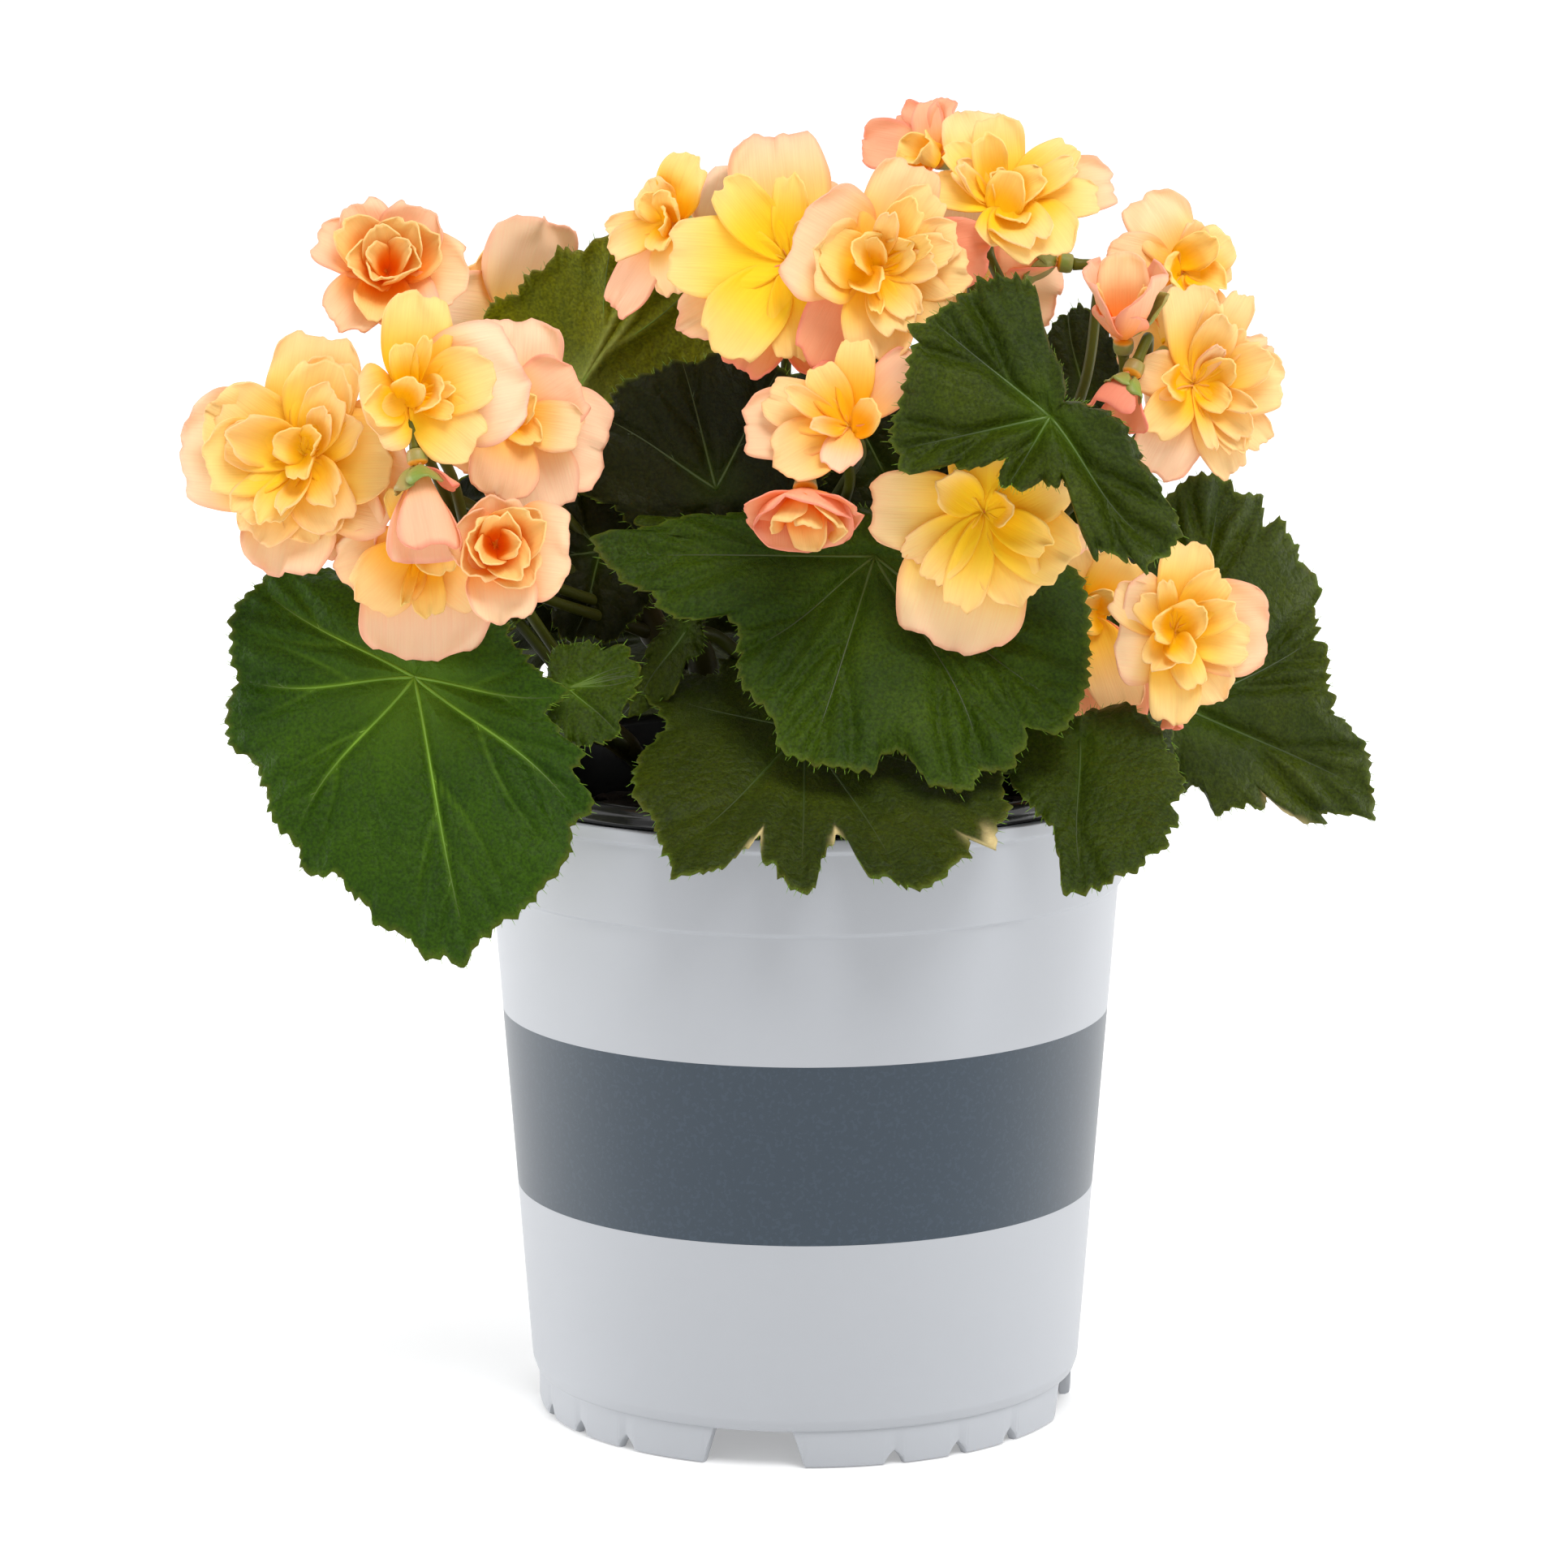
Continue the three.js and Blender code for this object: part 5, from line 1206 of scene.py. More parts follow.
def make_veins(leaf, mains, sides):
    """The veins and bristles of a leaf. The radii give the thick end, the thin end and the tube's sides."""
    fine = min(1.0, max(r for _, r in leaf["reach"]) / FULL_SIZE)
    below = 1.0 if leaf.get("turned") else -1.0
    bm = new_sheet_mesh()
    for paths, (thick, thin, around) in ((mains, MAIN_RADII), (sides, SIDE_RADII)):
        for path in paths:
            x, y = path.T
            taper = np.linspace(thick, thin, len(path)) * (0.5 + 0.5 * fine)
            share = np.hypot(x, y) / reach_at(leaf["reach"], np.degrees(np.arctan2(y, x)))
            tube(bm, blade_at(leaf, x, y, below * (0.75 + 0.1 * fine)), taper, around,
                 marks={"tone": vein_shows(leaf, share)})
    _, whole = margin_run(leaf, np.zeros(1))
    count = int(whole / BRISTLE_PITCH)
    for i in range(count):
        angle = 360 * (i + draw(leaf["seed"], i)) * BRISTLE_PITCH / whole
        lean = math.radians(angle + BRISTLE_LEAN * (draw(i, 6) - 0.5))
        reach = reach_at(leaf["reach"], np.array([angle]))
        edge = reach + tooth_at(leaf, np.array([angle])) * np.minimum(reach / 25, 1)
        along = np.array(BRISTLE_STEPS) * (0.8 + draw(i, 7))
        x, y = (edge * f(math.radians(angle)) + along * f(lean) for f in (math.cos, math.sin))
        rise = (draw(i, 8) - 0.5) * np.array([0, 0.4, 1.0])
        tube(bm, blade_at(leaf, x, y, rise), np.array(BRISTLE_RADII), 3, marks={"tone": np.full(3, 1.0)})
    piece(leaf["name"], bm, [leaf_vein], suffix="_veins", stands_for_solid=not leaf["grows_from"])
    return count


print("a bristle stands every", BRISTLE_PITCH, "mm, and is", BRISTLE_STEPS[-1], "mm long")

# %% [markdown]
# ## Make the leaves
# The large leaves of the front are seen closely, so their grids are finer than those of all others.

# %% Make the leaves
NEAR_GRID, FAR_GRID = (480, 26), (300, 18)
for leaf in leaf_table:
    near = leaf["face"] == FRONT and not leaf["grows_from"]
    mains, sides = vein_paths(leaf)
    make_blade(leaf, mains, sides, *(NEAR_GRID if near else FAR_GRID))
    bristles = make_veins(leaf, mains, sides)
    print(leaf["name"], "has", len(mains), "main veins,", len(sides), "side veins,", bristles, "bristles")

# %% [markdown]
# ## Blooms
# A double bloom has wide guard petals outside, smaller ones in front of them, and a heart of narrow petals
# that stand up. A petal is given by its turn round the face, its reach from the middle, its width and the
# lift of its tip. It bends over one knee, is widest at six tenths of its length, and cups across. The fine
# petal adds a waved edge, a crease and small notches to that same form.

# %% One petal
WIDEST, BLUNT = 0.62, 0.36
FAN_WIDEST, FAN_ROOT, PLAIN_ROOT = 0.82, 1.5, 0.72
NOTCHES = ((0.03, 4), (0.014, 9), (0.006, 19))
WAVE, CREASE, CURL, LIP, SLANT = 0.058, 0.018, 0.16, 0.12, 0.12


def petal_outline(s, t, fan):
    """Shares of the reach and of half the width, at s along and t across. The tip is a blunt half oval."""
    widest = FAN_WIDEST if fan else WIDEST
    q = np.clip((s - widest) / (1 - widest), 0, 1)
    root = np.sin(np.pi / 2 * (np.minimum(s, widest) / widest) ** (FAN_ROOT if fan else PLAIN_ROOT))
    return (np.minimum(s, widest) + (1 - widest) * q * (1 - t * t / 2) ** BLUNT,
            root * (1 - q * q / 2) ** BLUNT)


def add_petal(bm, bloom, spec, tone, seed, columns, rows, material=0):
    """Adds the petal of a (turn, reach, width, lift, tone, aside, away) spec to a bloom."""
    angle, reach, width, lift = spec[:4]
    aside, away = spec[5:] if len(spec) > 5 else (0.0, 0.0)
    axes = facing(bloom["face"])
    # A flat petal arches over a knee near its middle. An upright one first goes out and then up.
    upright = min(max(lift / reach, 0), 1)
    knee = (reach * (0.45 + 0.4 * upright), lift * (0.9 - 0.6 * upright) + 2 * (1 - upright))
    c, d = math.cos(math.radians(angle)), math.sin(math.radians(angle))
    phases = [2 * math.pi * draw(seed, k) for k in (1, 2, 3)]
    size = min(width, reach + lift / 2)

    def place_petal(u, v):
        v, t = 1 - (1 - v) ** 1.15, 1 - 2 * u
        hand = np.sign(t)
        s, spread = petal_outline(v, t, bloom.get("fan"))
        edge = np.maximum(np.abs(t), np.clip((v - WIDEST) / (1 - WIDEST), 0, 1))
        # The tip is notched by three waves of different lengths, and the petal runs out and up over its knee.
        notched = sum(deep * np.sin(count * t + phase) for (deep, count), phase in zip(NOTCHES, phases))
        notched = 1 + notched * smooth(v, 0.6, 1)
        out = (1 - s) ** 2 * 0.5 + 2 * s * (1 - s) * knee[0] + s * s * reach * notched
        rise = (1 - s) ** 2 + 2 * s * (1 - s) * knee[1] + s * s * lift
        # It is cupped across and a little slanted, and its edge ruffles more than its middle.
        half = width / 2 * spread * (1 + 0.025 * np.sin(9 * v + phases[2]) * hand)
        cup = (0.1 + 0.4 * upright) * half * t * t + SLANT * (draw(seed, 4) - 0.5) * width * t * v
        ruffle = (np.sin(4.6 * v * hand + 3.2 * t + phases[0])
                  + 0.4 * np.sin(10 * v * hand + 7 * t + phases[1]))
        wave = WAVE * size * (smooth(edge, 0.3, 1) * ruffle + 0.35 * np.sin(2.5 * t + 3 * v + phases[2]) * v)
        # A crease runs along the middle, and the tip curls back or forward.
        wave -= CREASE * size * v * np.exp(-(t / 0.2) ** 2)
        wave += CURL * (draw(seed, 5) - 0.6) * size * smooth(v, 0.65, 1)
        r = out - (cup + wave) * upright + LIP * size * upright * smooth(v, 0.7, 1)
        fold = t * half
        spots = at(bloom["centre"], axes, aside + r * c - fold * d, away + r * d + fold * c,
                   rise + (cup + wave) * (1 - 0.5 * upright))
        marks = {"along": v, "across": fold / 10, "rim": smooth(edge, 0.86, 1)}
        for name, value in (("tone", tone), ("warm", bloom.get("warm", 0.0)), ("vein", draw(seed, 7))):
            marks[name] = np.full(len(s), value)
        return spots, marks

    sheet(bm, columns, rows, place_petal, material, merge=True)


trial = new_sheet_mesh()
add_petal(trial, {"centre": (0, 0, 0), "face": FRONT}, [90, 25, 20, 2], 0, 1, 12, 14)
print("a trial petal reaches", round(max(v.co.z for v in trial.verts) / MM, 1), "mm")
trial.free()

# %% [markdown]
# ## Petal colours
# The tone of a petal says its colour: 0 for a heart petal, 1 for a guard petal, 2 for coral, 2.5 for red. Its
# foot is golden, its rim a little pink, and fine fibres run along it. Petals glow when light comes through
# them, so the shader lets some through, and adds a faint light of the petal's own colour for the light that
# bounces about inside a double bloom.

# %% Petal colours
PETAL_TONES = (
    (0.0, (244, 214, 128)), (0.16, (244, 215, 150)), (0.29, (243, 216, 168)), (0.4, (242, 214, 184)),
    (0.6, (241, 190, 158)), (0.8, (236, 158, 126)), (1.0, (206, 62, 74)))
GOLD, EMBER, LEMON = screen(246, 194, 0), screen(246, 112, 10), screen(247, 218, 44)
PEACH, PINK = screen(240, 184, 142), screen(242, 146, 126)
petal_skin, tree, shader = finish("petal", 0.6, IOR=1.4, Specular_IOR_Level=0.12, Emission_Strength=0.11)
tone, along, rim, warm = (mark(tree, name) for name in ("tone", "along", "rim", "warm"))
stripes = node(tree, "ShaderNodeCombineXYZ", X=maths(tree, "MULTIPLY", mark(tree, "across"), 26.0),
               Y=maths(tree, "MULTIPLY", along, 2.2), Z=maths(tree, "MULTIPLY", mark(tree, "vein"), 31.0))
fibres = node(tree, "ShaderNodeTexNoise", Vector=stripes.outputs[0], Scale=1.0, Detail=3.0).outputs["Fac"]
body = ramp(tree, maths(tree, "MULTIPLY", tone, 0.4), [(spot, screen(*rgb)) for spot, rgb in PETAL_TONES])
peach = maths(tree, "MULTIPLY", mark(tree, "vein"), maths(tree, "MULTIPLY", tone, 0.4))
body = blend(tree, peach, body, PEACH)
root = smooth_step(tree, maths(tree, "MULTIPLY_ADD", tone, 0.25, along), 1.04, 0.3)
root = maths(tree, "MULTIPLY", root, maths(tree, "MULTIPLY_ADD", tone, -0.2, 1.0))
body = blend(tree, root, body, GOLD)
inner = maths(tree, "MAXIMUM", maths(tree, "MULTIPLY_ADD", tone, -1.2, 1.25), 0.4)
ember = maths(tree, "MULTIPLY", maths(tree, "MULTIPLY", warm, inner), smooth_step(tree, along, 1.05, 0.1))
body = blend(tree, ember, body, EMBER)
lemon = maths(tree, "MULTIPLY", maths(tree, "MULTIPLY", warm, -1.0), smooth_step(tree, along, 1.15, 0.2))
body = blend(tree, lemon, body, LEMON)
pink = maths(tree, "MULTIPLY", rim, maths(tree, "MULTIPLY_ADD", tone, 0.4, 0.02))
body = blend(tree, pink, body, PINK)
shade = maths(tree, "MULTIPLY_ADD", fibres, 0.2, 0.9)
fibre_tint = node(tree, "ShaderNodeCombineColor", Red=1.0, Green=shade, Blue=shade).outputs[0]
body = blend(tree, 1.0, body, fibre_tint, "MULTIPLY")
tree.links.new(body, shader.inputs["Base Color"])
tree.links.new(blend(tree, 1.0, body, (1.0, 0.64, 0.03, 1), "MULTIPLY"), shader.inputs["Emission Color"])
bump(tree, shader, fibres, 0.35, 0.0004)
let_light_through(tree, shader, body, 0.25)
print("petal nodes:", len(tree.nodes))

# %% [markdown]
# ## Green parts of a bloom
# Behind the petals sits a small green cup, flushed with red where the light falls on it, and some buds keep
# a few green bracts. Inside, where the heart petals leave the cup, it is golden like their feet.

# %% Cup and bracts
calyx, tree, shader = finish("calyx", 0.5)
green = use_group(tree, uneven, Colour=screen(120, 138, 52), Other=screen(196, 118, 84), Scale=130.0,
                  Amount=0.4)
in_heart = smooth_step(tree, mark(tree, "dry"), 0.6, 0.75)
tree.links.new(blend(tree, in_heart, green, screen(232, 150, 10)), shader.inputs["Base Color"])
bump(tree, shader, use_group(tree, grain, Scale=1500.0, Sharpness=0.6), 0.3, 0.0003)
print("materials so far:", len(bpy.data.materials))

# %% [markdown]
# ## Blooms of the front
# Each bloom differs, so the large petals were read one by one from the front, with 0 to the right and 90 up.
# A full bloom gets companions beside its large petals, a half bloom is a bud or a half-open cup, and a
# rosette has its heart wound up. Warm makes the heart deeper orange, and less than 0 makes it lemon yellow.

# %% Blooms of the front
bloom_table = []


def add_bloom(name, centre, face, petals, heart, bracts=(), **more):
    """Notes a bloom. A petal is (turn, reach, width, lift), and its tone if that isn't the usual one."""
    bloom_table.append({"name": name, "centre": centre, "face": face, "petals": petals, "heart": heart,
                        "bracts": bracts, **more})


add_bloom("bloom_left_1", (-102, -38, 293), (5, 25), heart=7, warm=0.85, rosette=True, petals=[
    (117, 16.5, 14, 8), (154, 18, 14, 6), (54, 16, 16, 8), (-9, 19, 20, 5, 0.8), (-70, 16, 18, 7),
    (-128, 19, 16, 6, 0.9), (20, 13, 14, 11, 0.3), (-100, 13, 14, 11, 0.3), (140, 12, 13, 12, 0.3)])
add_bloom("bloom_left_2", (-94, -80, 267), (5, 12), heart=2, petals=[(84, 25, 17, 4, 0.2), (13, 28, 30, 0),
    (200, 11, 22, 3, 0.4), (18, 20, 16, 6, 0.3), (-40, 19, 16, 5, 0.3), (100, 12, 7, 8, 0),
    (74, 14, 4, 10, 0), (13, 10, 4, 7, 0), (-22, 10, 5, 7, 0)])
add_bloom("bloom_left_3", (-120, -62, 251), (-14, 10), heart=2, warm=-0.4, full=True, petals=[
    (177, 32.4, 30, 0), (85, 29.6, 24, 2, 0.5), (-10, 26, 34, 0), (-100, 29, 24, 0), (147, 23, 18, 6, 0.4),
    (184, 21.5, 19, 10, 0.3), (-116, 22.6, 17, 5, 0.5), (-60, 18.7, 16, 6, 0.5), (30, 17, 12, 8, 0.3),
    (71, 23, 18, 7, 0.3), (-111, 16.6, 10, 12, 0.2), (-55, 27, 22, -2, 1)])
# Its raised tones and its warmth are painted shade: they darken this bloom to the peach of a bloom in shade.
add_bloom("bloom_left_4", (-72, -46, 258), (15, 8), heart=2, warm=0.3, petals=[(83, 25, 24, 0),
    (32, 18.5, 20, 4, 1.2), (-18, 26, 26, -2), (-74, 25, 24, 0), (-105, 18, 18, 5, 0.9),
    (-10, 15, 13, 8, 0.7), (176, 17, 16, -1, 0.9), (206, 18, 15, -1, 0.9)])
add_bloom("bloom_left_5", (-92, -66, 232), (2, -8), heart=3, warm=0.2, petals=[(-90, 30, 32, 0),
    (-161, 22, 16, 2), (-42, 19.7, 16, 5, 0.5), (-137, 19, 17, 8, 0.4), (-85, 16.5, 8.5, 9, 0.1),
    (112, 14.6, 10, 6, 0), (-110, 13.6, 3, 12, 0)])
add_bloom("bloom_left_6", (-74, -80, 232), (8, 10), heart=6, warm=0.9, rosette=True, petals=[
    (-8, 17.5, 24, 2, 0.9), (-86, 18, 17, 4, 0.9), (92, 11, 14, 6, 0.8), (165, 10, 15, 8, 0.8),
    (30, 10, 12, 10, 0.4), (-50, 11, 13, 9, 0.4), (-140, 10, 12, 10, 0.4)])
add_bloom("bloom_middle_1", (-31, -28, 305), (-38, 12), heart=3, petals=[(68, 16, 16, 5, 0.2),
    (135, 10.5, 12, 5, 0.4), (-169, 18.5, 7, 5), (-148, 16.7, 9, 7, 0.5), (-126, 28.5, 14, 0, 1.3),
    (-80, 18, 14, 2, 0.7)])
add_bloom("bloom_middle_2", (-4, -50, 297), (-6, 10), heart=0, warm=-0.6, petals=[(178, 27.4, 20, 8, 0.3),
    (-125, 26.3, 19, 8, 0.2), (129, 22.6, 13, 10, 0.1), (98, 31.8, 25, 0, 1.1), (87, 20, 9, 8, 0.1),
    (57, 22.6, 17, 0, 0.9), (-83, 23.4, 12, 6, 0.2), (-148, 30.6, 15, 0), (-112, 29, 16, -2, 2),
    (-66, 28, 20, -5, 2.05)])
add_bloom("bloom_middle_3", (16, -60, 296), (0, 12), heart=3, full=True, petals=[(150, 20, 30, 3, 0.9),
    (67, 27.5, 18, 2, 0.6), (12, 29, 18, -2, 2), (-118, 27, 20, -4, 2.05), (22, 21.8, 12, 6, 0.4),
    (-3, 23.3, 14, 4, 0.4), (-32, 20.6, 13, 4, 0.4), (-85, 22.4, 17, 3, 0.4), (160, 10, 14, 8, 0.1),
    (56, 17, 9, 12, 0.1), (22, 14, 6, 13, 0.1), (-83, 11, 4, 10, 0)])
add_bloom("bloom_middle_4", (11, -70, 259), (-8, 22), heart=0, warm=0.25, petals=[(179, 26, 19, 1, 0.9),
    (162, 20.8, 13, 5, 0.5), (-147, 19.6, 16, 4, 0.5), (122, 14.6, 10, 8, 0.2), (85, 19.2, 10, 8, 0.2),
    (47, 23, 12, 4, 1.2), (-100, 12, 10, 5, 1), (157, 15.4, 6, 11, 0.4), (195, 7.7, 5, 10, 0.4),
    (116, 18, 12, -2, 2)])
add_bloom("bloom_middle_5", (0, -72, 245), (-4, -48), heart=4, warm=1.4, rosette=True, petals=[
    (100, 8, 24, 11, 1.7), (-75, 8, 24, 12, 1.6), (180, 13, 13, 8, 1.6), (5, 13, 13, 8, 1.7)])
add_bloom("bloom_top_1", (47, -50, 310), (8, 36), heart=3, warm=-0.4, full=True, petals=[
    (102, 27.5, 19, 2, 0.6), (12, 28.7, 17, 2), (35, 21.9, 11, 7, 0.3), (134, 17.5, 9, 8, 0.2),
    (165, 17, 12, 3), (-58, 18, 22, 8, 0.3), (-100, 14, 12, 6, 0.3), (110, 12.6, 9, 13, 0.1)])
add_bloom("bloom_top_2", (33, -20, 320), (-55, 20), heart=2, petals=[(178, 24, 13, 6, 1.8),
    (150, 18, 13, 4, 1.8), (60, 14, 12, 6, 1.5), (100, 12, 12, 6, 1.5), (-100, 12, 12, 6, 1.7)])
add_bloom("bloom_top_3", (63, -22, 294.5), (-92, 8), heart=0, half=True, petals=[(90, 6, 12, 22, 1.6),
    (-90, 7, 12, 17, 2), (0, 6, 12, 16, 1.8), (180, 6, 11, 18, 1.8)],
    bracts=[(60, 6, 8, 8), (-70, 6, 9, 9), (180, 7, 8, 8)])
add_bloom("bloom_right_1", (77, -52, 278), (-4, 66), heart=3, warm=1.5, half=True, petals=[
    (180, 8, 17, 20, 1.15), (-20, 9, 17, 20, 1.25), (-110, 6, 14, 11, 1.4), (90, 5, 13, 21, 0.7)],
    bracts=[(10, 10, 7, 12), (60, 10, 7, 14)])
add_bloom("bloom_right_2", (93, -12, 291), (30, 14), heart=2, petals=[(110, 21, 19, 0, 0.8),
    (165, 21.5, 14, 1, 0.8), (75, 12, 8, 5, 0.5), (32, 13.5, 12, 5, 0.4), (4, 12, 10, 4, 0.5),
    (-80, 15, 16, 2, 0.7)])
add_bloom("bloom_right_3", (94, -45, 267), (14, 6), heart=2, full=True, petals=[(94, 23, 15, 6, 0.5),
    (-115, 24, 17, 1), (59, 24.7, 9, 5, 0.5), (0, 21, 16, 6, 0.5), (25, 21, 9, 4, 0.8), (39, 19, 10, 0, 1),
    (-69, 24, 11, 3, 0.6), (-39, 23, 10, 3, 0.5), (63, 9, 5, 10, 0.8), (-48, 16.5, 8, 9, 0.4),
    (-83, 15.5, 4, 10, 0.4), (165, 14, 12, 3, 0.6)])
add_bloom("bloom_right_4", (89, -58, 208), (6, 4), heart=2, warm=-0.2, petals=[(79, 21.7, 14, 5, 0.3),
    (3, 24, 24, 0), (175, 13, 28, 2, 0.9), (143, 17.3, 12, 2, 0.7), (-90, 22, 13, 3, 0.4),
    (-54, 20.5, 14, 1, 0.5), (-10, 18, 12, 5, 0.4), (-128, 9.3, 9, 8, 0.3), (-70, 13.6, 8, 6, 0.2),
    (103, 12.7, 5, 8, 0.2), (53, 17, 10, 8, 0.2), (25, 14, 9, 10, 0.2), (135, 12, 8, 5, 0.3)])
add_bloom("bloom_right_5", (71, -36, 209), (-2, 2), heart=1, petals=[(-80, 30, 22, 0, 1.75),
    (-71, 23.7, 14, 6, 0.6), (60, 16.6, 14, 5, 0.2), (100, 17, 10, 2, 0.4), (180, 15, 14, 3, 0.6)])
add_bloom("bloom_front", (43, -70, 239), (0, 2), heart=0, warm=-0.65, petals=[(-105, 34.5, 32, 0),
    (178, 27.4, 20, 2, 0.8), (-28, 23.5, 19, 5, 0.2), (-67, 23, 15, 5, 0.3), (-105, 23, 11, 8, 0.3),
    (-131, 20.5, 9, 7, 0.3), (-153, 21.5, 9, 4, 0.5), (142, 13, 11, 10, 0.2), (27, 21, 17, 5, 0.3),
    (90, 18, 18, 3, 0.2), (-25, 15.5, 10, 10, 0), (-17, 28, 8, -2)])
add_bloom("bud_left", (-92, -86, 253), (20, -66), heart=0, half=True, fan=True, petals=[
    (90, 5, 15, 22, 1.5), (-90, 8, 18, 22, 1.2), (10, 8, 7, 7, 2.45)],
    bracts=[(90, 6, 9, 6), (-90, 6, 8, 5), (180, 6, 8, 7)])
add_bloom("bud_right", (79, -56, 271), (-40, -52), heart=0, half=True, fan=True, petals=[
    (90, 6, 13, 12, 2.1), (-90, 7, 13, 12, 2.15)], bracts=[(0, 5, 7, 7), (90, 5, 7, 6)])
add_bloom("bud_low", (89.5, -46, 189), (10, -72), heart=0, half=True, petals=[(0, 2, 7, 7, 2.25),
    (180, 2, 7, 7, 2.25)])
print("blooms and buds that the front shows:", len(bloom_table))

# %% [markdown]
# ## Blooms of the far side
# The far side's blooms are guesses, so they share one plan: four guard petals at right angles, two inside
# them, and five smaller ones between. Each turn and size is drawn, which is enough to make the five differ.

# %% Blooms of the far side
for name, centre, face, size, seed in (
        ("bloom_rear_1", (92, 26, 266), (125, 15), 27, 3),
        ("bloom_rear_2", (38, 50, 286), (162, 25), 28, 7),
        ("bloom_rear_3", (-20, 38, 288), (190, 30), 27, 11),
        ("bloom_rear_4", (-74, 36, 272), (215, 18), 28, 15),
        ("bloom_rear_5", (26, 82, 226), (172, 5), 26, 19)):
    guards = [(90 * i + 20 * draw(seed, i), size * (0.9 + 0.2 * draw(seed, i + 9)), 0.95 * size, 1, 1)
              for i in range(4)]
    inside = [(180 * i + 55 + 20 * draw(seed, i + 4), 0.72 * size, 0.55 * size, 6 + i, 0.4) for i in range(2)]
    between = [(72 * i + 20 + 25 * draw(seed, i + 20), size * (0.55 + 0.15 * draw(seed, i + 30)),
                0.42 * size, 5 + i, 0.3) for i in range(5)]
    add_bloom(name, centre, face, guards + inside + between, heart=4, full=True)
print("blooms and buds in all:", len(bloom_table))

# %% [markdown]
# ## Hearts and companions
# A plant sets its petals a golden angle apart, so a heart's petals are turned by it. In a half bloom each is
# more upright than the last; in a rosette each is also a little shorter, and they stand close and wrap round
# the middle; in other blooms their sizes are drawn. A full bloom also has a smaller petal beside and before
# each large one, which is added by rule instead of read one by one.

# %% Heart petals and companions
GOLDEN_ANGLE = 137.5
HEART_REACH, HEART_WIDTH, HEART_LIFT, HEART_ASIDE = (4, 4), (7, 4), (7, 4), (1.0, 2.6)
LARGE_REACH, CORAL_TONE = 16, 1.4
SWING, LESS, NARROWER, HIGHER = (12, 14), (0.66, 0.2), 0.68, 3.5


def drawn(least_and_more, key, step):
    """A draw between the least value and so much more."""
    least, more = least_and_more
    return least + more * draw(key, step)


def heart_petals(bloom):
    """The petals that stand up in the middle, each with its foot a little off the middle."""
    key = bloom["centre"][0]
    turn = 60 * draw(key, 1)
    out = []
    if bloom.get("half"):
        return [[turn + GOLDEN_ANGLE * i, 6, 4, 15 + i, 0.2] for i in range(bloom["heart"])]
    if bloom.get("rosette"):
        count = bloom["heart"]
        return [[turn + GOLDEN_ANGLE * i, 8.5 - 6 * i / count, 14 - 8 * i / count, 12.5 + 2 * i / count, 0.25]
                for i in range(count)]
    for i in range(bloom["heart"] + 1):
        foot, way = drawn(HEART_ASIDE, key, i + 20), 2 * math.pi * draw(key, i + 40)
        out.append([turn + GOLDEN_ANGLE * i, drawn(HEART_REACH, key, i), drawn(HEART_WIDTH, key, i + 9),
                    drawn(HEART_LIFT, key, i + 30), 0.1, foot * math.cos(way), foot * math.sin(way)])
    return out


def companions(bloom):
    """A smaller petal beside and before each large one, which fills a double bloom out."""
    if not bloom.get("full"):
        return []
    out = []
    for rank, spec in enumerate(bloom["petals"]):
        angle, reach, width, lift = spec[:4]
        if reach > LARGE_REACH and (len(spec) < 5 or spec[4] < CORAL_TONE):
            key = bloom["centre"][0]
            hand = 1 if draw(key, rank + 60) > 0.5 else -1
            swing = hand * drawn(SWING, key, rank + 70)
            less = drawn(LESS, key, rank + 80)
            out.append([angle + swing, reach * less, width * NARROWER, lift + HIGHER, 0.35])
    return out


print(bloom_table[2]["name"], "gets", len(heart_petals(bloom_table[2])), "heart petals and",
      len(companions(bloom_table[2])), "companions")

# %% [markdown]
# ## Make the blooms
# The petals of a bloom are joined in a small cup that flares from the stalk. The guard petals are made first,
# and each later petal is lifted a little more, so none lie in one plane. Large petals get a finer grid.

# %% Make the blooms
CORE_RADIUS, CORE_FOOT, CORE_TOP, SMALL_CORE = 3.6, 2.0, 1.2, 0.8
PETAL_THICKNESS, LIFT_STEP = 0.42, 0.08
LARGE_PETAL, LARGE_GRID, SMALL_GRID, BRACT_GRID = 15, (16, 18), (10, 12), (8, 9)


def core_depth(bloom):
    """How far the cup reaches behind the petals."""
    return CORE_RADIUS * (SMALL_CORE if bloom.get("half") else 1)


def add_cup(bm, bloom):
    """The closed cup that holds the petals."""
    depth, axes = core_depth(bloom), facing(bloom["face"])

    def place_cup(u, v):
        turn = 2 * np.pi * u
        rows = [0, 0.12, 0.3, 0.7, 0.85, 1]
        radius = np.interp(v, rows, [0, CORE_FOOT, CORE_FOOT * 1.15, depth * 0.8, depth * 0.5, 0])
        height = np.interp(v, rows, [-depth, -depth, -0.6 * depth, 0.2, CORE_TOP - 0.6, CORE_TOP - 0.2])
        return at(bloom["centre"], axes, radius * np.cos(turn), radius * np.sin(turn), height), {"dry": v}

    sheet(bm, 16, 12, place_cup, 1, merge=True)


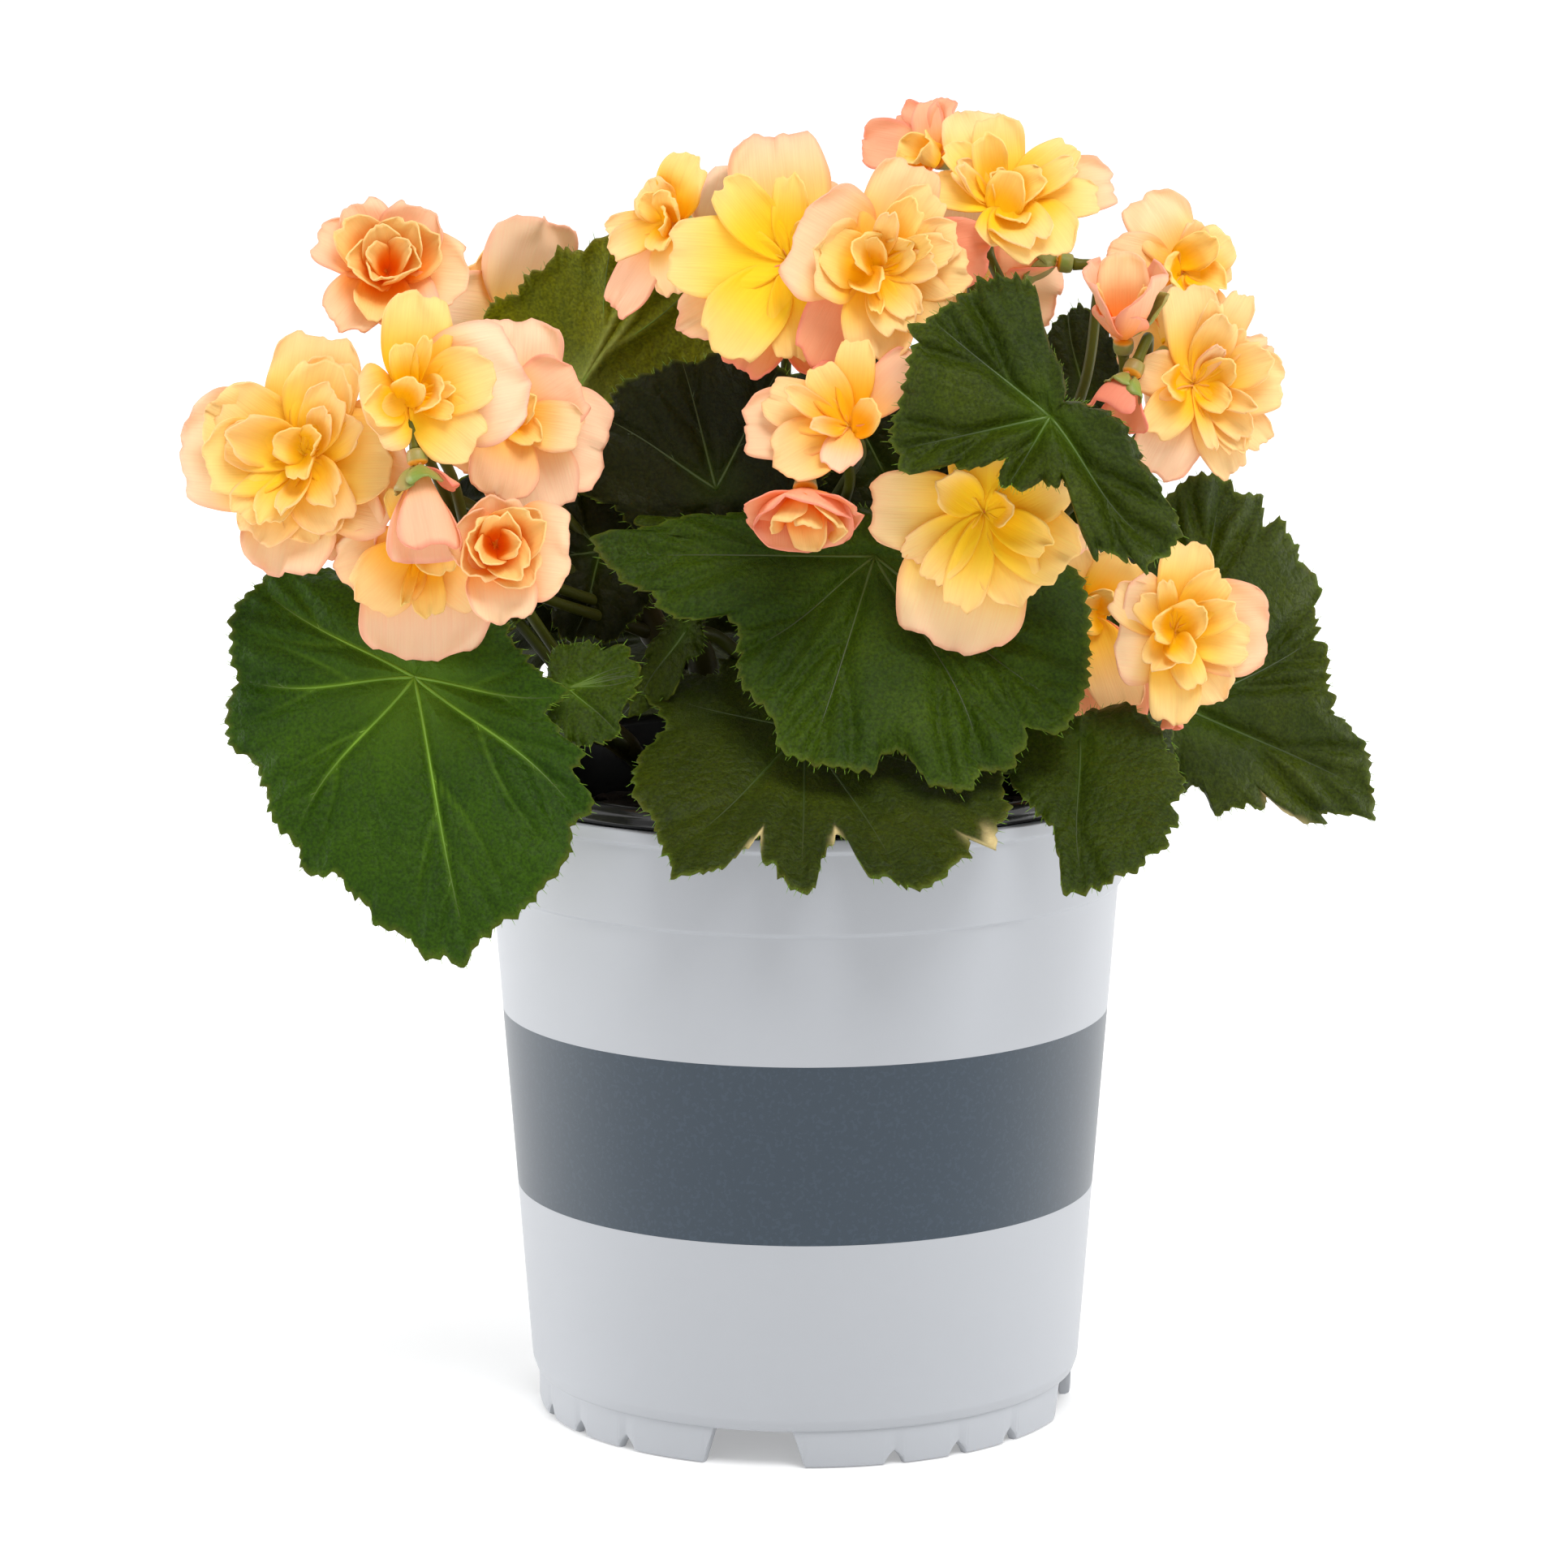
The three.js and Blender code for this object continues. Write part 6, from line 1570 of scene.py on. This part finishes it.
petal_count = 0
for bloom in bloom_table:
    bm = new_sheet_mesh()
    everything = bloom["petals"] + companions(bloom) + heart_petals(bloom)
    petal_count += len(everything)
    guard_reach = max(spec[1] for spec in everything)
    for rank, spec in enumerate(everything):
        default = float(smooth(spec[1] / guard_reach, 0.45, 0.85))
        tone_of = spec[4] if len(spec) > 4 else default
        lifted = [*spec[:3], spec[3] + LIFT_STEP * rank, *spec[4:]]
        grid = LARGE_GRID if spec[1] > LARGE_PETAL else SMALL_GRID
        add_petal(bm, bloom, lifted, tone_of, bloom["centre"][0] + 3 * rank, *grid)
    for rank, spec in enumerate(bloom["bracts"]):
        add_petal(bm, bloom, spec, 0, 50 + rank, *BRACT_GRID, material=1)
    add_cup(bm, bloom)
    piece(bloom["name"], bm, [petal_skin, calyx], PETAL_THICKNESS)
print("petals in all:", petal_count)

# %% [markdown]
# ## Stems
# The stems are thick and fleshy. Each stands in the soil, bends to its fork, and gives off a petiole to each
# leaf and a stalk to each bloom. A joint is a little swollen where a stalk leaves. They are tubes along the
# same curves as the solids, so they end just behind what they carry.

# %% Stem table
stem_table = []


def add_stem(name, foot, fork, radius, carries):
    """Notes a stem. It carries (leaf or bloom, share of the stem where its stalk leaves, points passed)."""
    stem_table.append({"name": name, "foot": foot, "fork": fork, "radius": radius, "carries": carries})


add_stem("stem_left", (-22, -8), (-42, -6, 208), radius=3.4, carries=[
    ("bloom_left_1", 0.97, (-72, -8, 262)), ("bloom_left_2", 0.93, (-80, -42, 226), (-89, -60, 246)),
    ("bloom_left_3", 0.9, (-84, -30, 236)), ("bloom_left_4", 0.97),
    ("bud_left", 0.88, (-78, -44, 222), (-86, -66, 249))])
add_stem("stem_left_low", (-32, 6), (-50, -14, 176), radius=3, carries=[("leaf_left_low", 0.9),
    ("leaf_young", 0.85), ("bloom_left_5", 0.97), ("bloom_left_6", 0.95)])
add_stem("stem_middle", (-4, 0), (-6, 2, 232), radius=3.6, carries=[
    ("bloom_middle_1", 0.97, (-20, -4, 284)), ("bloom_middle_2", 0.95, (-4, -12, 284)),
    ("bloom_middle_3", 0.93, (12, -14, 278)), ("leaf_middle_back", 0.9),
    ("bloom_middle_4", 0.82, (10, -20, 240)), ("bloom_middle_5", 0.78, (11, -40, 244))])
add_stem("stem_front", (4, -26), (8, -30, 172), radius=3.2, carries=[("leaf_front_low", 0.9),
    ("leaf_middle_large", 0.97)])
add_stem("stem_right", (22, -14), (46, -22, 222), radius=3.6, carries=[
    ("bloom_top_1", 0.97, (50, -40, 284)), ("bloom_top_2", 0.95, (42, -4, 290)),
    ("bloom_top_3", 0.93, (68, -26, 262), (72, -23, 286)), ("bloom_right_1", 0.9, (72, -46, 256)),
    ("bloom_right_3", 0.86, (82, -30, 252)), ("leaf_top_front", 0.88), ("bud_right", 0.9, (80, -40, 262)),
    ("bloom_front", 0.8, (46, -30, 238))])
add_stem("stem_right_low", (30, 0), (60, -8, 176), radius=3, carries=[("leaf_right_large", 0.9),
    ("leaf_side_right", 0.97), ("leaf_right_low", 0.9, (64, -32, 184)),
    ("bloom_right_4", 0.97, (94, -34, 190)), ("bloom_right_5", 0.95), ("bud_low", 0.85, (85, -30, 192))])
add_stem("stem_rear_right", (18, 22), (40, 18, 208), radius=3.4, carries=[("bloom_right_2", 0.97),
    ("bloom_rear_1", 0.97), ("bloom_rear_2", 0.95), ("leaf_rear_1", 0.8), ("leaf_rear_2", 0.7),
    ("leaf_rear_5", 0.9), ("bloom_rear_5", 0.8)])
add_stem("stem_rear_left", (-20, 20), (-32, 20, 208), radius=3.4, carries=[("bloom_rear_3", 0.97),
    ("bloom_rear_4", 0.95, (-46, 28, 240)), ("leaf_rear_3", 0.7), ("leaf_rear_4", 0.75),
    ("leaf_rear_6", 0.9), ("leaf_rear_7", 0.9), ("leaf_left_back", 0.95), ("leaf_left_high", 0.97),
    ("leaf_side_left", 0.97, (-62, 22, 210))])
carried = sum(len(stem["carries"]) for stem in stem_table)
print("stems:", len(stem_table), "carrying", carried, "leaves and blooms")

# %% [markdown]
# ## Paths of stems and stalks
# A stem is a simple bend with one control point above its foot. A stalk has to pass through given points and
# arrive straight behind its bloom or leaf, so it follows a smooth curve through points. Pacing the curve by
# the square root of the distances keeps it from looping where two points are close.

# %% Paths of the stems and stalks
STEM_ROOT = 22
PETIOLE_RADIUS, STALK_RADIUS = 1.7, 1.35
STRAIGHT_RUN, SHORT_RUN, NEAR_HUB = 16, 7, 1e-6
soil_surface = SOIL_TOP + SOIL_MOUND


def main_path(stem, f):
    """Places on a stem, where f runs from 0 in the soil to 1 at the fork."""
    foot, fork = np.array([*stem["foot"], soil_surface - STEM_ROOT], float), np.array(stem["fork"], float)
    above = np.array([foot[0], foot[1], soil_surface + 0.35 * (fork[2] - soil_surface)])
    f = np.asarray(f, float)[..., None]
    return (1 - f) ** 2 * foot + 2 * f * (1 - f) * above + f * f * fork


def curve_through(points, steps):
    """A smooth curve through points, paced by the square root of their distances."""
    p = [2 * points[0] - points[1], *points, 2 * points[-1] - points[-2]]
    out = []
    for p0, p1, p2, p3 in zip(p, p[1:], p[2:], p[3:]):
        d0, d1, d2 = (math.sqrt(max(np.linalg.norm(b - a), 1e-4)) for a, b in ((p0, p1), (p1, p2), (p2, p3)))
        m1 = d1 * ((p1 - p0) / d0 - (p2 - p0) / (d0 + d1) + (p2 - p1) / d1)
        m2 = d1 * ((p2 - p1) / d1 - (p3 - p1) / (d1 + d2) + (p3 - p2) / d2)
        f = np.linspace(0, 1, steps, endpoint=False)[:, None]
        out.append((2 * f**3 - 3 * f**2 + 1) * p1 + (f**3 - 2 * f**2 + f) * m1
                   + (3 * f**2 - 2 * f**3) * p2 + (f**3 - f**2) * m2)
    return np.vstack(out + [points[-1][None]])


leaf_of = {leaf["name"]: leaf for leaf in leaf_table}
bloom_of = {bloom["name"]: bloom for bloom in bloom_table}


def seat_of(name):
    """Where a stalk ends, the way it comes in, its radius, and the most that it runs straight."""
    if name in leaf_of:
        leaf = leaf_of[name]
        small = 0.2 * reach_at(leaf["reach"], np.array([0.0, 90.0]))
        hub, x, y = blade_at(leaf, np.array([NEAR_HUB, small[0], 0.0]), np.array([0.0, 0.0, small[1]]))
        outward = np.cross(x - hub, y - hub)
        outward /= np.linalg.norm(outward)
        return hub - outward, outward, PETIOLE_RADIUS, STRAIGHT_RUN
    bloom = bloom_of[name]
    axis = facing(bloom["face"])[2]
    return (np.array(bloom["centre"], float) - axis * (core_depth(bloom) + 0.2), axis, STALK_RADIUS,
            SHORT_RUN if bloom.get("half") else STRAIGHT_RUN)


print("the petiole of", leaf_table[0]["name"], "ends at", seat_of(leaf_table[0]["name"])[0].round(1), "mm")

# %% [markdown]
# ## Stem finish
# The stems are fleshy and green, with a satin skin. They turn reddish at the joints, and the flower stalks
# are a yellower green towards the bloom.

# %% Stem finish
stem_skin, tree, shader = finish("stem", 0.45, IOR=1.42, Specular_IOR_Level=0.25)
flesh = use_group(tree, uneven, Colour=screen(42, 52, 8), Other=screen(44, 44, 12), Scale=36.0, Amount=0.6)
flesh = blend(tree, maths(tree, "MULTIPLY", mark(tree, "warm"), 0.2), flesh, screen(96, 50, 22))
flesh = blend(tree, mark(tree, "tone"), flesh, screen(98, 96, 20))
tree.links.new(flesh, shader.inputs["Base Color"])
bump(tree, shader, use_group(tree, grain, Scale=1200.0, Sharpness=0.6), 0.3, 0.0003)
print("materials in all:", len(bpy.data.materials))

# %% [markdown]
# ## Make the stems
# A stem is one piece with all its petioles and stalks, because they have grown together. It is a little
# swollen where a stalk leaves, and a stalk is swollen at both its ends. The petioles of the small leaves are
# pieces of their own that replace no solid.

# %% Make the stems
STEM_STEPS, STEM_SIDES, STALK_STEPS, STALK_SIDES = 26, 16, 10, 12
SWELL, SWELL_LENGTH, MOST_SWELL = 0.25, 0.03, 0.3


def add_stalk(bm, stem, name, share, passes=()):
    """A stalk or petiole from its place on a stem to the bloom or leaf of that name."""
    end, way, radius, straight = seat_of(name)
    start = main_path(stem, share)
    arrive = end - way * min(0.4 * np.linalg.norm(end - start), straight)
    path = curve_through([start, *[np.array(p, float) for p in passes], arrive, end], STALK_STEPS)
    g = np.linspace(0, 1, len(path))
    thick = radius * (1 + 0.45 * hill(g, 0.06) + 0.2 * hill(1 - g, 0.04))
    tube(bm, path, thick, STALK_SIDES, marks={
        "warm": 0.6 * hill(g, 0.1) + 0.5 * hill(1 - g, 0.15), "tone": g * (0.9 if name in bloom_of else 0.2)})


stem_of = {stem["name"]: stem for stem in stem_table}
for stem in stem_table:
    bm = new_sheet_mesh()
    f = np.linspace(0, 1, STEM_STEPS)
    swell = sum(SWELL * hill(f - one[1], SWELL_LENGTH) for one in stem["carries"])
    tube(bm, main_path(stem, f), stem["radius"] * (1 - 0.12 * f) * (1 + np.minimum(swell, MOST_SWELL)),
         STEM_SIDES, marks={"warm": np.minimum(swell * 2, 1)})
    for name, share, *passes in stem["carries"]:
        add_stalk(bm, stem, name, share, passes)
    piece(stem["name"], bm, [stem_skin])
for leaf in leaf_table:
    if leaf["grows_from"]:
        bm = new_sheet_mesh()
        stem_name, share = leaf["grows_from"]
        add_stalk(bm, stem_of[stem_name], leaf["name"], share)
        piece(leaf["name"], bm, [stem_skin], suffix="_petiole", stands_for_solid=False)
